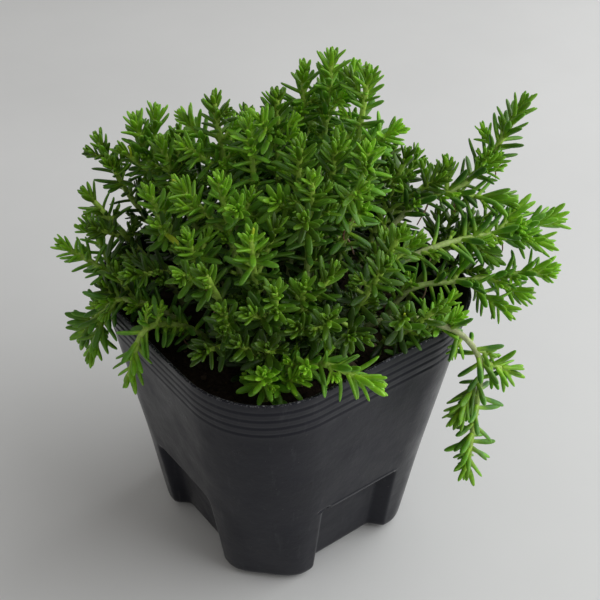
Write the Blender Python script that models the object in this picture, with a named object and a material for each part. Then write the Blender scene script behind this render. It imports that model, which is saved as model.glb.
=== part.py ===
"""A clump of leafy stonecrop in a thin square nursery pot.

Sizes are in millimetres and MM turns them into metres. The pot stands on z = 0, centred on the Z axis.
Every stem of the clump is one object: its tube, its side shoots and its leaves are joined into one body.
"""

import math
import random

import bmesh
import bpy
import numpy as np

MM = 0.001
GAP = 0.3  # kept between pieces that touch

# The pot, outside
POT_HEIGHT = 85.0
TOP_HALF = 45.0
BASE_HALF = 33.2
TOP_CORNER = 25.0
BASE_CORNER = 23.0
CORNER_STEPS = 5
WALL = 0.8
FLOOR = 1.0
FOOT_EDGE = 3.5

# Four grooves round the wall under the rim
GROOVES = 4
GROOVE_FIRST = 3.3
GROOVE_STEP = 3.0
GROOVE_DEEP = 0.35
GROOVE_HALF = 0.45

# A set-back panel low on each face leaves a foot at each corner
PANEL_HALF = 13.4
PANEL_HEIGHT = 30.5
PANEL_DEPTH = 3.9
PANEL_EDGE = 3.0
PANEL_BEYOND = 12.0

# Drain holes in the floor, clear of its middle
DRAINS = 4
DRAIN_RADIUS = 3.5
DRAIN_SIDES = 12
DRAIN_OUT = 17.0
CUT_PAST = 2.0  # how far a cutter runs past what it cuts

# The soil, dug in below the rim
SOIL_TOP = 73.0
HOLE_RADIUS = 1.9
HOLE_SIDES = 4
HOLE_SPARE = 0.6

# Stems
STEM_RADIUS = 1.0
TIP_RADIUS = 0.6
CORE_RADIUS = 1.15
SIDE_RADIUS = 0.75
STEM_DEPTH = 6.0
STEM_FOOT = 3.0
STEP = 18.0
TRAILING_STEP = 13.0
SIDE_STEP = 15.0
BUD = 4.5
BUD_RADIUS = 0.2
STEM_SPACING = 5.2
STEM_ROOM = 3.2
CLEAR = 0.35
SPREADING_ROUNDS = 60
LOOSENING_ROUNDS = 40
LOOSENING = 0.6

# A stem's foot lies this share of the way out to its tip: the tall ones' nearer the middle
FOOT_SHARE_TALL = 0.42
FOOT_SHARE_LOW = 0.80
FOOT_STRAY = 2.0
TALL = 140.0
LOW = 80.0

# A stem leans out as it leaves the soil and again at its tip, more where its tip is low
LEAN_AT_FOOT = 0.015
LEAN_AT_TIP = 0.25
LEANING_BELOW = 120.0
LEANING_OVER = 40.0
LEAN_REACH = 60.0
SINK_AT_TIP = 0.35

# A side shoot forks off this far below its main stem's tip, as a share of its reach and a length more
FORK_SHARE = 0.9
FORK_BELOW = 8.0
FORK_ALONG = 0.6

# Leaves: plump and blunt, flat above and keeled below
LEAF_WIDTH = 2.0
LEAF_THICK = 1.25
LEAF_ABOVE = 0.35  # the share of its thickness that lies above its axis
LEAF_FREE = 0.3  # the share of its length, from its root, that its own neighbours may touch
LEAF_NEAR = 0.7  # the share of its radius that keeps clear of its own neighbours
LEAF_STRAY = 0.08
SPREAD_STRAY = 0.09
LEAF_SHORT = 4.5
LEAF_LONG = 8.2
LEAF_GROWN = 6.0
LEAF_RISE = 0.07
LEAF_WIDEST = 0.64
TIP_SPREAD = math.radians(20)
FULL_SPREAD = math.radians(68)
SPREAD_OVER = 5.5
GOLDEN = math.radians(137.5)
LEAVES_BELOW_TIP = (0.8, 2.4, 4.8, 8.2, 12.8, 18.8)
LEAVES_ON_SIDE = (0.8, 2.6, 5.2, 9.0)
BACK_LEAVES = (0.8, 3.0, 6.8, 12.5)
BACK_LEAVES_ON_SIDE = (0.8, 3.0, 6.5)
# What a leaf tries, to keep clear of others: a turn round the stem, a change of spread, a share of length
LEAF_TRIES = (
    (0.0, 0.0, 1.0),
    (0.45, 0.0, 1.0),
    (-0.45, 0.0, 1.0),
    (0.0, -0.35, 1.0),
    (0.9, -0.2, 0.9),
    (-0.9, -0.2, 0.9),
    (0.3, -0.5, 0.8),
)
SEED = 7

# The clump's best side is turned this far from the pot's front face
FACING = math.radians(53.3)

# Each stem's own tip, then any side shoots', as seen from the best side: to the right, to the back, height
STEMS = {
    "crown": ((13, 8, 149), (19, 14, 143)),
    "crown_right": ((22, 0, 148), (29, -4, 135)),
    "crown_left": ((6, 10, 144), (13, 20, 137)),
    "crown_front": ((-1, 3, 141), (-5, -4, 138)),
    "column": ((22, -10, 132),),
    "upper_right": ((34, 12, 118), (38, 18, 101), (43, 5, 116)),
    "upper_front": ((5, -13, 135), (-1, -20, 124)),
    "upper_front_right": ((14, -11, 134), (20, -20, 127)),
    "middle": ((8, -21, 131), (6, -29, 124)),
    "tall_left": ((-17, 2, 140), (-25, 6, 133), (-25, -3, 130)),
    "inner_left": ((-8, -4, 136), (-11, -24, 124)),
    "thin_left": ((-40, 16, 126), (-35, 19, 128), (-43, 10, 121)),
    "shoulder_left": ((-32, 6, 125), (-28, 12, 126)),
    "far_left": ((-51, 18, 120), (-47, 11, 116)),
    "left_middle": ((-15, -18, 128), (-25, -14, 124)),
    "left_front": ((-34, -9, 119), (-31, -19, 116), (-38, -25, 105)),
    "left_side": ((-53, 4, 111), (-50, -5, 106)),
    "left_reach": ((-61, 1, 96), (-55, 10, 99)),
    "left_low": ((-48, -13, 92), (-44, -15, 98)),
    "front_left": ((-23, -27, 117), (-24, -34, 111)),
    "star_left": ((-18, -36, 113),),
    "front_upper": ((-7, -32, 121), (-1, -26, 120)),
    "front_middle": ((-1, -41, 111), (-7, -44, 107)),
    "front_low_left": ((-14, -42, 106), (-19, -45, 96)),
    "front_low": ((-3, -47, 99), (-10, -47, 100)),
    "star_middle": ((6, -37, 110), (13, -34, 112)),
    "star_low": ((12, -43, 105), (4, -44, 103)),
    "right_front": ((26, -31, 112), (17, -43, 99)),
    "right_front_upper": ((30, -22, 115), (35, -17, 110), (27, -14, 108)),
    "right_low": ((40, -29, 97), (31, -36, 100)),
    "right_bright": ((46, -24, 90), (46, -12, 87)),
    "right_middle": ((54, 8, 99), (49, 10, 104), (54, -2, 90), (44, 9, 101), (60, 13, 100)),
    "front_drop": ((-4, -47, 90), (5, -44, 87)),
}

# Stems that lean far out or trail over the rim: the points they pass, then their tips as above
TRAILING = {
    "reach_right": (
        ((29, 2, 100), (40, 5, 110), (53, 9, 114)),
        ((64, 13, 133), (57, 9, 119), (45, 8, 117), (62, 8, 107)),
    ),
    "arch_right": (
        ((30, -8, 95), (46, -4, 101), (62, 4, 99)),
        ((76, 9, 100), (58, 2, 92), (72, 2, 97), (66, 9, 103)),
    ),
    "side_right": (
        ((38, -6, 88), (54, -4, 88)),
        ((74, -1, 90), (62, -10, 82), (67, -6, 85), (55, 5, 96)),
    ),
    "over_rim": (
        ((26, -24, 87), (40, -23, 89), (53, -26, 80)),
        ((53, -30, 40), (62, -24, 72), (48, -34, 66)),
    ),
    "left_droop": (((-36, -14, 87), (-47, -12, 89)), ((-57, -8, 72), (-53, -17, 74))),
    "left_spill": (((-26, -20, 84), (-35, -27, 90)), ((-40, -34, 79),)),
    "front_spill": (((-2, -36, 82), (9, -42, 90)), ((22, -47, 88),)),
}

# Stems behind the crown follow one rule: they fan out behind it in three rows that fall away
BACK_STEMS = 18
BACK_FROM = 12.0
BACK_SWEEP = 156.0
BACK_OUT = (18, 42, 30)
BACK_WIDER = 1.1
BACK_BEHIND = 6.0
BACK_STRAY = 4.0
BACK_BOB = 3.0
BACK_CROWN = 131.0
BACK_FALL = 0.014
# Their side shoots: how much wider and further back than the tip, a step right, a step back, a step down
BACK_SIDES = ((1.12, 1.1, 3, 4, 9), (0.9, 1.1, -5, 5, 14))

# Colours
CHARCOAL = (0.032, 0.034, 0.040)
EARTH = (0.035, 0.024, 0.016)
GREEN = (0.12, 0.30, 0.05)


# Vectors and curves


def unit(vector):
    vector = np.asarray(vector, float)
    return vector / max(np.linalg.norm(vector), 1e-9)


def turned(point):
    """From the clump's own terms, right and back of its best side, to the pot's X and Y."""
    c, s = math.cos(FACING), math.sin(FACING)
    return np.array([c * point[0] - s * point[1], s * point[0] + c * point[1], point[2]])


def hermite(start, leave, end, arrive, count=24):
    """Points on a smooth curve that leaves its start and reaches its end in the given directions."""
    start, end = np.asarray(start, float), np.asarray(end, float)
    reach = np.linalg.norm(end - start)
    t = np.linspace(0, 1, count)[:, None]
    at_start = (2 * t**3 - 3 * t**2 + 1) * start + (t**3 - 2 * t**2 + t) * reach * unit(leave)
    at_end = (3 * t**2 - 2 * t**3) * end + (t**3 - t**2) * reach * unit(arrive)
    return at_start + at_end


def through(points, count=8):
    """Points on a smooth curve through all the given points."""
    p = np.asarray(points, float)
    p = np.vstack([2 * p[0] - p[1], p, 2 * p[-1] - p[-2]])
    curve = []
    for i in range(1, len(p) - 2):
        a, b, c, d = p[i - 1 : i + 3]
        for t in np.arange(count) / count:
            bend = (2 * a - 5 * b + 4 * c - d) * t**2 + (3 * b - a - 3 * c + d) * t**3
            curve.append(0.5 * (2 * b + (c - a) * t + bend))
    curve.append(p[-2])
    return np.array(curve)


def lengths_along(path):
    return np.r_[0, np.cumsum(np.linalg.norm(np.diff(path, axis=0), axis=1))]


def spaced(path, step):
    """The same curve with its points about one step apart."""
    along = lengths_along(path)
    count = max(1, round(along[-1] / step))
    at = np.linspace(0, along[-1], count + 1)
    return np.stack([np.interp(at, along, path[:, k]) for k in range(3)], axis=1)


def below_tip(path, distance):
    """The point this far below the path's end, and the path's direction there."""
    along = lengths_along(path)
    at = max(along[-1] - distance, 0)
    point = np.array([np.interp(at, along, path[:, k]) for k in range(3)])
    leg = min(np.searchsorted(along, at, side="right"), len(path) - 1)
    return point, unit(path[leg] - path[leg - 1])


def apart(starts, ends, other_starts, other_ends):
    """How near each leg of one set comes to each leg of another, and the way between them."""
    d1 = (ends - starts)[:, None]
    d2 = (other_ends - other_starts)[None]
    between = starts[:, None] - other_starts[None]
    a = np.maximum((d1 * d1).sum(2), 1e-9)
    e = np.maximum((d2 * d2).sum(2), 1e-9)
    f, c, b = (d2 * between).sum(2), (d1 * between).sum(2), (d1 * d2).sum(2)
    s = np.clip((b * f - c * e) / np.maximum(a * e - b * b, 1e-9), 0, 1)
    t = np.clip((b * s + f) / e, 0, 1)
    s = np.clip((b * t - c) / a, 0, 1)
    way = between + d1 * s[..., None] - d2 * t[..., None]
    return np.sqrt((way * way).sum(2)), way


# The planting plan


def wall_half(height):
    return BASE_HALF + (TOP_HALF - BASE_HALF) * height / POT_HEIGHT


def corner_radius(height):
    return BASE_CORNER + (TOP_CORNER - BASE_CORNER) * height / POT_HEIGHT


def inside_wall(point):
    """How far a point in the clump's terms lies inside the pot's outer wall, less than 0 outside it."""
    x, y, z = turned(point)
    half, corner = wall_half(z), corner_radius(z)
    over = np.maximum(np.abs([x, y]) - (half - corner), 0)
    return corner - math.hypot(*over) if over.any() else half - max(abs(x), abs(y))


def keep_on_soil(place):
    """Draws a stem's foot in, a little at a time, until it has room inside the wall."""
    while inside_wall((*place, SOIL_TOP)) - WALL < STEM_ROOM:
        place *= 0.97


def back_rows():
    """The stems behind the crown: their tips fall away from it, each with two side shoots."""
    rows = {}
    for k in range(BACK_STEMS):
        way = math.radians(BACK_FROM + BACK_SWEEP * (k + 0.5) / BACK_STEMS)
        out = BACK_OUT[k % len(BACK_OUT)] + BACK_STRAY * math.sin(5 * k)
        height = BACK_CROWN - BACK_FALL * out**2 + BACK_BOB * math.cos(7 * k)
        tips = [(BACK_WIDER * out * math.cos(way), out * math.sin(way) + BACK_BEHIND, height)]
        for wider, further, right, back, down in BACK_SIDES:
            tips.append((wider * tips[0][0] + right, further * tips[0][1] + back, height - down))
        rows[f"back_{k + 1:02d}"] = tuple(tips)
    return rows


def all_rows():
    """Every stem's name, its tips and the points that it passes."""
    rows = {name: (tips, ()) for name, tips in STEMS.items()}
    rows.update({name: (tips, passes) for name, (passes, tips) in TRAILING.items()})
    rows.update({name: (tips, ()) for name, tips in back_rows().items()})
    return rows


def plan_bases(rows):
    """Where each stem leaves the soil: nearer the middle than its tip, and clear of the others."""
    bases = {}
    for index, (name, (tips, passes)) in enumerate(rows.items()):
        draw = random.Random(SEED + index)
        aim = passes[0] if passes else tips[0]
        low = min(1, max(0, (TALL - aim[2]) / (TALL - LOW)))
        share = FOOT_SHARE_TALL + (FOOT_SHARE_LOW - FOOT_SHARE_TALL) * low
        stray = (draw.uniform(-FOOT_STRAY, FOOT_STRAY), draw.uniform(-FOOT_STRAY, FOOT_STRAY))
        bases[name] = share * np.array(aim[:2]) + stray
        keep_on_soil(bases[name])
    names = list(rows)
    for _ in range(SPREADING_ROUNDS):
        for i, first in enumerate(names):
            for second in names[i + 1 :]:
                way = bases[first] - bases[second]
                far = max(math.hypot(*way), 0.01)
                if far < STEM_SPACING:
                    push = way / far * (STEM_SPACING - far) / 2
                    bases[first] += push
                    bases[second] -= push
        for name in names:
            keep_on_soil(bases[name])
    return bases


def plan_main(base, tips, passes):
    """One stem's own path, from its foot in the soil to its tip."""
    ground = np.array([*base, SOIL_TOP])
    foot = ground + (0, 0, STEM_FOOT)
    tip = np.array(tips[0], float)
    if passes:
        curve = through([foot, *passes, tip])
    else:
        low = max(0, (LEANING_BELOW - tip[2]) / LEANING_OVER)
        leave = (tip - foot) * (1, 1, 0) * LEAN_AT_FOOT + (0, 0, 1)
        lean = (LEAN_AT_TIP + low) / LEAN_REACH
        curve = hermite(foot, leave, tip, (lean * tip[0], lean * tip[1], 1 - SINK_AT_TIP * low))
    legs = spaced(curve, TRAILING_STEP if passes else STEP)
    return with_bud(np.vstack([ground - (0, 0, STEM_DEPTH), legs]))


def loosen(mains):
    """Bends stems off each other until every pair is clear."""
    names = list(mains)
    need = 2 * STEM_RADIUS + CLEAR
    for _ in range(LOOSENING_ROUNDS):
        touched = False
        for i, first in enumerate(names):
            for second in names[i + 1 :]:
                a, b = mains[first], mains[second]
                if (a.min(0) - need > b.max(0)).any() or (b.min(0) - need > a.max(0)).any():
                    continue
                far, way = apart(a[:-1], a[1:], b[:-1], b[1:])
                i_leg, j_leg = np.unravel_index(np.argmin(far), far.shape)
                nearest = far[i_leg, j_leg]
                if nearest >= need:
                    continue
                touched = True
                push = LOOSENING * (need + 0.1 - nearest) * unit(way[i_leg, j_leg] + (0.01, 0.02, 0))
                for path, leg, move in ((a, i_leg, push), (b, j_leg, -push)):
                    for k in (leg, leg + 1):
                        if 2 <= k < len(path) - 2:
                            path[k] += move
        if not touched:
            return


def plan_side(main, tip):
    """A side shoot's path: it forks off the main stem some way below its own tip."""
    tip = np.asarray(tip, float)
    reach = np.linalg.norm(main[-2] - tip)
    start, along = below_tip(main, BUD + FORK_SHARE * reach + FORK_BELOW)
    arrive = unit(tip - start) + FORK_ALONG * along
    return with_bud(spaced(hermite(start, along + unit(tip - start), tip, arrive), SIDE_STEP))


def with_bud(path):
    """The path with its last leg drawn out past the tip, which the stem's end tapers over."""
    return np.vstack([path, path[-1] + BUD * unit(path[-1] - path[-2])])


def radii_of(path, base_radius):
    """A stem's radius at each point: it thins towards its tip, where its unopened leaves make a bud."""
    share = lengths_along(path[:-1]) / lengths_along(path[:-1])[-1]
    radii = base_radius + (TIP_RADIUS - base_radius) * share**2
    return np.r_[radii[:-1], CORE_RADIUS, BUD_RADIUS]


class Stem:
    """One rooted stem: shoots[0] is its own path and the rest are side shoots, all as point arrays."""

    def __init__(self, name, main):
        self.name = name
        self.shoots = [main]
        self.leaves = []


class Room:
    """The legs of stems and leaves that are already placed, each with its owner and radius."""

    def __init__(self):
        self.starts, self.ends, self.radii, self.owners = [], [], [], []

    def add(self, path, radii, owner):
        for k in range(len(path) - 1):
            self.starts.append(path[k])
            self.ends.append(path[k + 1])
            self.radii.append(max(radii[k], radii[k + 1]))
            self.owners.append(owner)

    def is_clear(self, path, radii, owner):
        others = [k for k, name in enumerate(self.owners) if name != owner]
        if not others:
            return True
        starts, ends = np.array(self.starts)[others], np.array(self.ends)[others]
        wide = np.array(self.radii)[others]
        far = apart(path[:-1], path[1:], starts, ends)[0]
        legs = np.maximum(radii[:-1], radii[1:])[:, None]
        return bool((far - legs - wide[None] > CLEAR).all())


def off_pot(path, radii):
    """Whether a path stays clear of the soil and of the pot's wall and rim."""
    for k in range(len(path) - 1):
        for t in np.linspace(0, 1, 12):
            point = path[k] + t * (path[k + 1] - path[k])
            reach = max(radii[k], radii[k + 1]) + CLEAR
            inside = inside_wall(point)
            in_wall_band = -reach < inside < WALL + reach
            if point[2] < POT_HEIGHT + reach and in_wall_band:
                return False
            if point[2] < SOIL_TOP + reach and inside > 0:
                return False
    return True


def leaf_path(shoot, below, turn, spread, length):
    """A leaf's root, its widest place and its tip, and the way that its flat face looks."""
    root, along = below_tip(shoot, BUD + below)
    side = unit(np.cross(along, (0.3, 0.2, 1) if abs(along[2]) < 0.9 else (1, 0, 0)))
    other = np.cross(along, side)
    out = math.cos(turn) * side + math.sin(turn) * other
    way = math.cos(spread) * along + math.sin(spread) * out
    face = math.sin(spread) * along - math.cos(spread) * out
    wide = root + LEAF_WIDEST * length * way
    tip = root + length * way + LEAF_RISE * length * face
    return np.array([root, wide, tip]), face


def leaf_places(stem, is_main):
    """How far below a shoot's tip its leaves sit: fewer on the stems behind the crown."""
    if stem.name.startswith("back_"):
        return BACK_LEAVES if is_main else BACK_LEAVES_ON_SIDE
    return LEAVES_BELOW_TIP if is_main else LEAVES_ON_SIDE


def plan_leaves(stem, room, draw):
    """Leaves up every shoot by the golden angle. One that would touch another stem turns, shrinks or goes."""
    turn = draw.uniform(0, 2 * math.pi)
    own = Room()
    radii = np.full(3, LEAF_WIDTH / 2)
    for k, shoot in enumerate(stem.shoots):
        for below in leaf_places(stem, k == 0):
            turn += GOLDEN
            grown = 1 - math.exp(-below / LEAF_GROWN)
            length = LEAF_SHORT + (LEAF_LONG - LEAF_SHORT) * grown
            length *= draw.uniform(1 - LEAF_STRAY, 1 + LEAF_STRAY)
            open_share = 1 - math.exp(-below / SPREAD_OVER)
            spread = TIP_SPREAD + (FULL_SPREAD - TIP_SPREAD) * open_share
            spread += draw.uniform(-SPREAD_STRAY, SPREAD_STRAY)
            for shift, tilt, size in LEAF_TRIES:
                path, face = leaf_path(shoot, below, turn + shift, spread + tilt, size * length)
                free = path.copy()
                free[0] += LEAF_FREE * (path[2] - path[0])
                if not (off_pot(free, radii) and own.is_clear(free, LEAF_NEAR * radii, stem.name)):
                    continue
                if room.is_clear(path, radii, stem.name):
                    room.add(path, radii, stem.name)
                    own.add(free, LEAF_NEAR * radii, "a leaf")
                    stem.leaves.append((path, face))
                    break


def plan_clump():
    """Every stem with its shoots and leaves, all clear of each other, of the pot and of the soil."""
    rows = all_rows()
    bases = plan_bases(rows)
    mains = {name: plan_main(bases[name], *rows[name]) for name in rows}
    loosen(mains)
    stems = {name: Stem(name, mains[name]) for name in rows}
    room = Room()
    for stem in stems.values():
        room.add(stem.shoots[0], radii_of(stem.shoots[0], STEM_RADIUS), stem.name)
    for stem in stems.values():
        for tip in rows[stem.name][0][1:]:
            side = plan_side(stem.shoots[0], tip)
            radii = radii_of(side, SIDE_RADIUS)
            if room.is_clear(side, radii, stem.name) and off_pot(side, radii):
                room.add(side, radii, stem.name)
                stem.shoots.append(side)
    for index, stem in enumerate(stems.values()):
        plan_leaves(stem, room, random.Random(SEED * 100 + index))
    return list(stems.values())


# Blender helpers


def clear_scene():
    for obj in list(bpy.data.objects):
        bpy.data.objects.remove(obj, do_unlink=True)


def new_collection(name):
    collection = bpy.data.collections.new(name)
    bpy.context.scene.collection.children.link(collection)
    return collection


def principled(name, colour, roughness):
    material = bpy.data.materials.new(name)
    material.use_nodes = True
    shader = material.node_tree.nodes["Principled BSDF"]
    shader.inputs["Base Color"].default_value = (*colour, 1)
    shader.inputs["Roughness"].default_value = roughness
    shader.inputs["Metallic"].default_value = 0.0
    return material


def object_from(mesh_maker, name, collection, material=None):
    """A new object from a bmesh in millimetres. Without a material it is a cutter or a piece to be joined."""
    bmesh.ops.scale(mesh_maker, vec=(MM, MM, MM), verts=mesh_maker.verts)
    bmesh.ops.recalc_face_normals(mesh_maker, faces=mesh_maker.faces)
    mesh = bpy.data.meshes.new(name)
    mesh_maker.to_mesh(mesh)
    mesh_maker.free()
    obj = bpy.data.objects.new(name, mesh)
    collection.objects.link(obj)
    if material:
        mesh.materials.append(material)
    else:
        obj.hide_render = True
        obj.display_type = "WIRE"
    return obj


def shade(obj, sharp_from):
    obj.data.shade_smooth()
    obj.data.set_sharp_from_angle(angle=math.radians(sharp_from))


def remove_all(collection):
    for obj in list(collection.objects):
        data = obj.data
        bpy.data.objects.remove(obj, do_unlink=True)
        if isinstance(data, bpy.types.Mesh):
            bpy.data.meshes.remove(data)


def joined(obj, operation, tools, solver="EXACT"):
    """Applies one Boolean with a whole collection, and then removes that collection's objects."""
    boolean = obj.modifiers.new("join or cut", "BOOLEAN")
    boolean.operation = operation
    boolean.operand_type = "COLLECTION"
    boolean.collection = tools
    boolean.solver = solver
    evaluated = obj.evaluated_get(bpy.context.evaluated_depsgraph_get())
    mesh = bpy.data.meshes.new_from_object(evaluated)
    obj.modifiers.clear()
    old = obj.data
    obj.data = mesh
    bpy.data.meshes.remove(old)
    remove_all(tools)


# Pot and soil


def rounded_square(half, corner, height):
    """A ring of points round a square with round corners."""
    ring = []
    for quarter in range(4):
        for k in range(CORNER_STEPS + 1):
            way = math.radians(90 * (quarter + k / CORNER_STEPS))
            mid = math.radians(90 * quarter + 45)
            cx = (half - corner) * math.copysign(1, math.cos(mid))
            cy = (half - corner) * math.copysign(1, math.sin(mid))
            ring.append((cx + corner * math.cos(way), cy + corner * math.sin(way), height))
    return ring


def loft(rings):
    """A closed body through rings of as many points each, with flat ends."""
    maker = bmesh.new()
    rows = [[maker.verts.new(point) for point in ring] for ring in rings]
    for low, high in zip(rows, rows[1:]):
        for k in range(len(low)):
            after = (k + 1) % len(low)
            maker.faces.new((low[k], low[after], high[after], high[k]))
    maker.faces.new(rows[0][::-1])
    maker.faces.new(rows[-1])
    return maker


def wall_ring(height, inset):
    return rounded_square(wall_half(height) - inset, corner_radius(height) - inset, height)


def vessel_rings(inset, floor, top):
    """The pot's form, drawn in by an inset and cut off at a floor and a top, with a round bottom edge."""
    edge = FOOT_EDGE - inset
    rings = []
    for degrees in (0, 45, 90):
        drop = edge * (1 - math.sin(math.radians(degrees)))
        rise = edge * (1 - math.cos(math.radians(degrees)))
        rings.append(wall_ring(floor + rise, inset + drop))
    rings.append(wall_ring(top, inset))
    return rings


def outer_rings():
    rings = vessel_rings(0, 0, POT_HEIGHT)
    top_ring = rings.pop()
    for k in reversed(range(GROOVES)):
        height = POT_HEIGHT - GROOVE_FIRST - k * GROOVE_STEP
        rings.append(wall_ring(height - GROOVE_HALF, 0))
        rings.append(wall_ring(height, GROOVE_DEEP))
        rings.append(wall_ring(height + GROOVE_HALF, 0))
    return [*rings, top_ring]


def panel_blocks(grow, collection):
    """A block over each face's panel, sheared to the wall's slope and grown on the sides that cut."""
    slope = (TOP_HALF - BASE_HALF) / POT_HEIGHT
    low, high = -PANEL_BEYOND, PANEL_HEIGHT + grow
    near, far = -PANEL_DEPTH - grow, PANEL_BEYOND
    for quarter in range(4):
        maker = bmesh.new()
        bmesh.ops.create_cube(maker, size=1)
        size = (2 * (PANEL_HALF + grow), far - near, high - low)
        bmesh.ops.scale(maker, vec=size, verts=maker.verts)
        bmesh.ops.translate(maker, vec=(0, (near + far) / 2, (low + high) / 2), verts=maker.verts)
        inner = [e for e in maker.edges if all(abs(v.co.y - near) < 0.01 for v in e.verts)]
        cuts = [e for e in inner if max(v.co.z for v in e.verts) > 0]
        bmesh.ops.bevel(maker, geom=cuts, offset=PANEL_EDGE, segments=2, profile=0.5, affect="EDGES")
        for vert in maker.verts:
            vert.co.y += BASE_HALF + slope * vert.co.z
        turn = math.radians(90 * quarter)
        for vert in maker.verts:
            x, y = vert.co.x, vert.co.y
            vert.co.x = math.cos(turn) * x - math.sin(turn) * y
            vert.co.y = math.sin(turn) * x + math.cos(turn) * y
        object_from(maker, f"panel_block_{quarter + 1}", collection)


def add_cylinder(name, radius, sides, x, y, low, high, collection):
    maker = bmesh.new()
    bmesh.ops.create_cone(
        maker, cap_ends=True, segments=sides, radius1=radius, radius2=radius, depth=high - low
    )
    bmesh.ops.translate(maker, vec=(x, y, (low + high) / 2), verts=maker.verts)
    return object_from(maker, name, collection)


def make_pot(parts, tools):
    plastic = principled("charcoal_plastic", CHARCOAL, 0.5)
    inner = object_from(loft(vessel_rings(WALL, FLOOR, POT_HEIGHT + CUT_PAST)), "inside_of_pot", parts)
    panel_blocks(WALL, tools)
    joined(inner, "DIFFERENCE", tools)
    pot = object_from(loft(outer_rings()), "pot", parts, plastic)
    panel_blocks(0, tools)
    joined(pot, "DIFFERENCE", tools)
    parts.objects.unlink(inner)
    tools.objects.link(inner)
    joined(pot, "DIFFERENCE", tools)
    for k in range(DRAINS):
        way = math.radians(45 + 360 * k / DRAINS)
        x, y = DRAIN_OUT * math.cos(way), DRAIN_OUT * math.sin(way)
        add_cylinder(f"drain_{k + 1}", DRAIN_RADIUS, DRAIN_SIDES, x, y, -CUT_PAST, FLOOR + CUT_PAST, tools)
    joined(pot, "DIFFERENCE", tools)
    shade(pot, 35)


def make_soil(parts, tools, stems):
    earth = principled("dark_potting_soil", EARTH, 0.95)
    rings = vessel_rings(WALL + GAP, FLOOR + GAP, SOIL_TOP)
    soil = object_from(loft(rings), "soil", parts, earth)
    panel_blocks(WALL + GAP, tools)
    joined(soil, "DIFFERENCE", tools)
    for stem in stems:
        x, y, foot = turned(stem.shoots[0][0])
        low, high = foot - HOLE_SPARE, SOIL_TOP + CUT_PAST
        add_cylinder(f"hole_{stem.name}", HOLE_RADIUS, HOLE_SIDES, x, y, low, high, tools)
    joined(soil, "DIFFERENCE", tools)


# Leafy stems


def tube(path, radii, name, collection):
    """A four-sided tube along a path: a curve with a bevel, made a closed mesh."""
    curve = bpy.data.curves.new(name, "CURVE")
    curve.dimensions = "3D"
    curve.bevel_depth = MM
    curve.bevel_resolution = 0
    curve.use_fill_caps = True
    spline = curve.splines.new("POLY")
    spline.points.add(len(path) - 1)
    for point, place, radius in zip(spline.points, path, radii):
        point.co = (*(turned(place) * MM), 1)
        point.radius = radius
    guide = bpy.data.objects.new(name + "_guide", curve)
    collection.objects.link(guide)
    evaluated = guide.evaluated_get(bpy.context.evaluated_depsgraph_get())
    mesh = bpy.data.meshes.new_from_object(evaluated)
    bpy.data.objects.remove(guide, do_unlink=True)
    bpy.data.curves.remove(curve)
    maker = bmesh.new()
    maker.from_mesh(mesh)
    bmesh.ops.remove_doubles(maker, verts=maker.verts, dist=0.01 * MM)
    bmesh.ops.recalc_face_normals(maker, faces=maker.faces)
    maker.to_mesh(mesh)
    maker.free()
    obj = bpy.data.objects.new(name, mesh)
    collection.objects.link(obj)
    return obj


def leaf(path, face, name, collection):
    """A three-sided blade: flat above, keeled below, widest past its middle, with a drawn-out end."""
    root, wide, tip = (turned(point) for point in path)
    flat = turned(face)
    across = unit(np.cross(wide - root, flat))
    left = wide - across * LEAF_WIDTH / 2 + flat * LEAF_THICK * LEAF_ABOVE
    right = wide + across * LEAF_WIDTH / 2 + flat * LEAF_THICK * LEAF_ABOVE
    keel = wide - flat * LEAF_THICK * (1 - LEAF_ABOVE)
    maker = bmesh.new()
    ring = [maker.verts.new(point) for point in (left, right, keel)]
    ends = [maker.verts.new(point) for point in (root, tip)]
    for k in range(3):
        for end in ends:
            maker.faces.new((ring[k], ring[(k + 1) % 3], end))
    return object_from(maker, name, collection)


def keep_one_body(mesh):
    """Drops loose scraps and sealed hollows: only the largest outward body stays."""
    maker = bmesh.new()
    maker.from_mesh(mesh)
    maker.verts.ensure_lookup_table()
    seen = set()
    bodies = []
    for start in maker.verts:
        if start.index in seen:
            continue
        group, waiting = [], [start]
        seen.add(start.index)
        while waiting:
            vert = waiting.pop()
            group.append(vert)
            for edge in vert.link_edges:
                other = edge.other_vert(vert)
                if other.index not in seen:
                    seen.add(other.index)
                    waiting.append(other)
        bodies.append(group)
    bodies.sort(key=len)
    for group in bodies[:-1]:
        bmesh.ops.delete(maker, geom=group, context="VERTS")
    bmesh.ops.triangulate(maker, faces=maker.faces)
    maker.to_mesh(mesh)
    maker.free()


def make_stem(stem, parts, tools, green):
    main = stem.shoots[0]
    obj = tube(main, radii_of(main, STEM_RADIUS), "stem_" + stem.name, parts)
    for k, side in enumerate(stem.shoots[1:]):
        tube(side, radii_of(side, SIDE_RADIUS), f"side_{k + 1}", tools)
    for k, (path, face) in enumerate(stem.leaves):
        leaf(path, face, f"leaf_{k + 1}", tools)
    joined(obj, "UNION", tools, "MANIFOLD")
    keep_one_body(obj.data)
    obj.data.materials.clear()
    obj.data.materials.append(green)
    shade(obj, 50)


def main():
    clear_scene()
    parts = new_collection("potted_sedum")
    tools = new_collection("cutters")
    tools.hide_render = True
    stems = plan_clump()
    make_pot(parts, tools)
    make_soil(parts, tools, stems)
    green = principled("stonecrop_green", GREEN, 0.45)
    for stem in stems:
        make_stem(stem, parts, tools, green)


main()
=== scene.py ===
"""A clump of leafy stonecrop in a thin square nursery pot, with its fine surfaces, floor, light and camera.

The clump is planned in millimetres by the same rules and seeds as the model's solids, so that every fine stem
and leaf grows where its solid stands. MM turns the plan into metres.
"""

import itertools
import math
import random

import bmesh
import bpy
import numpy as np
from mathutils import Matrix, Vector, noise


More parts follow.
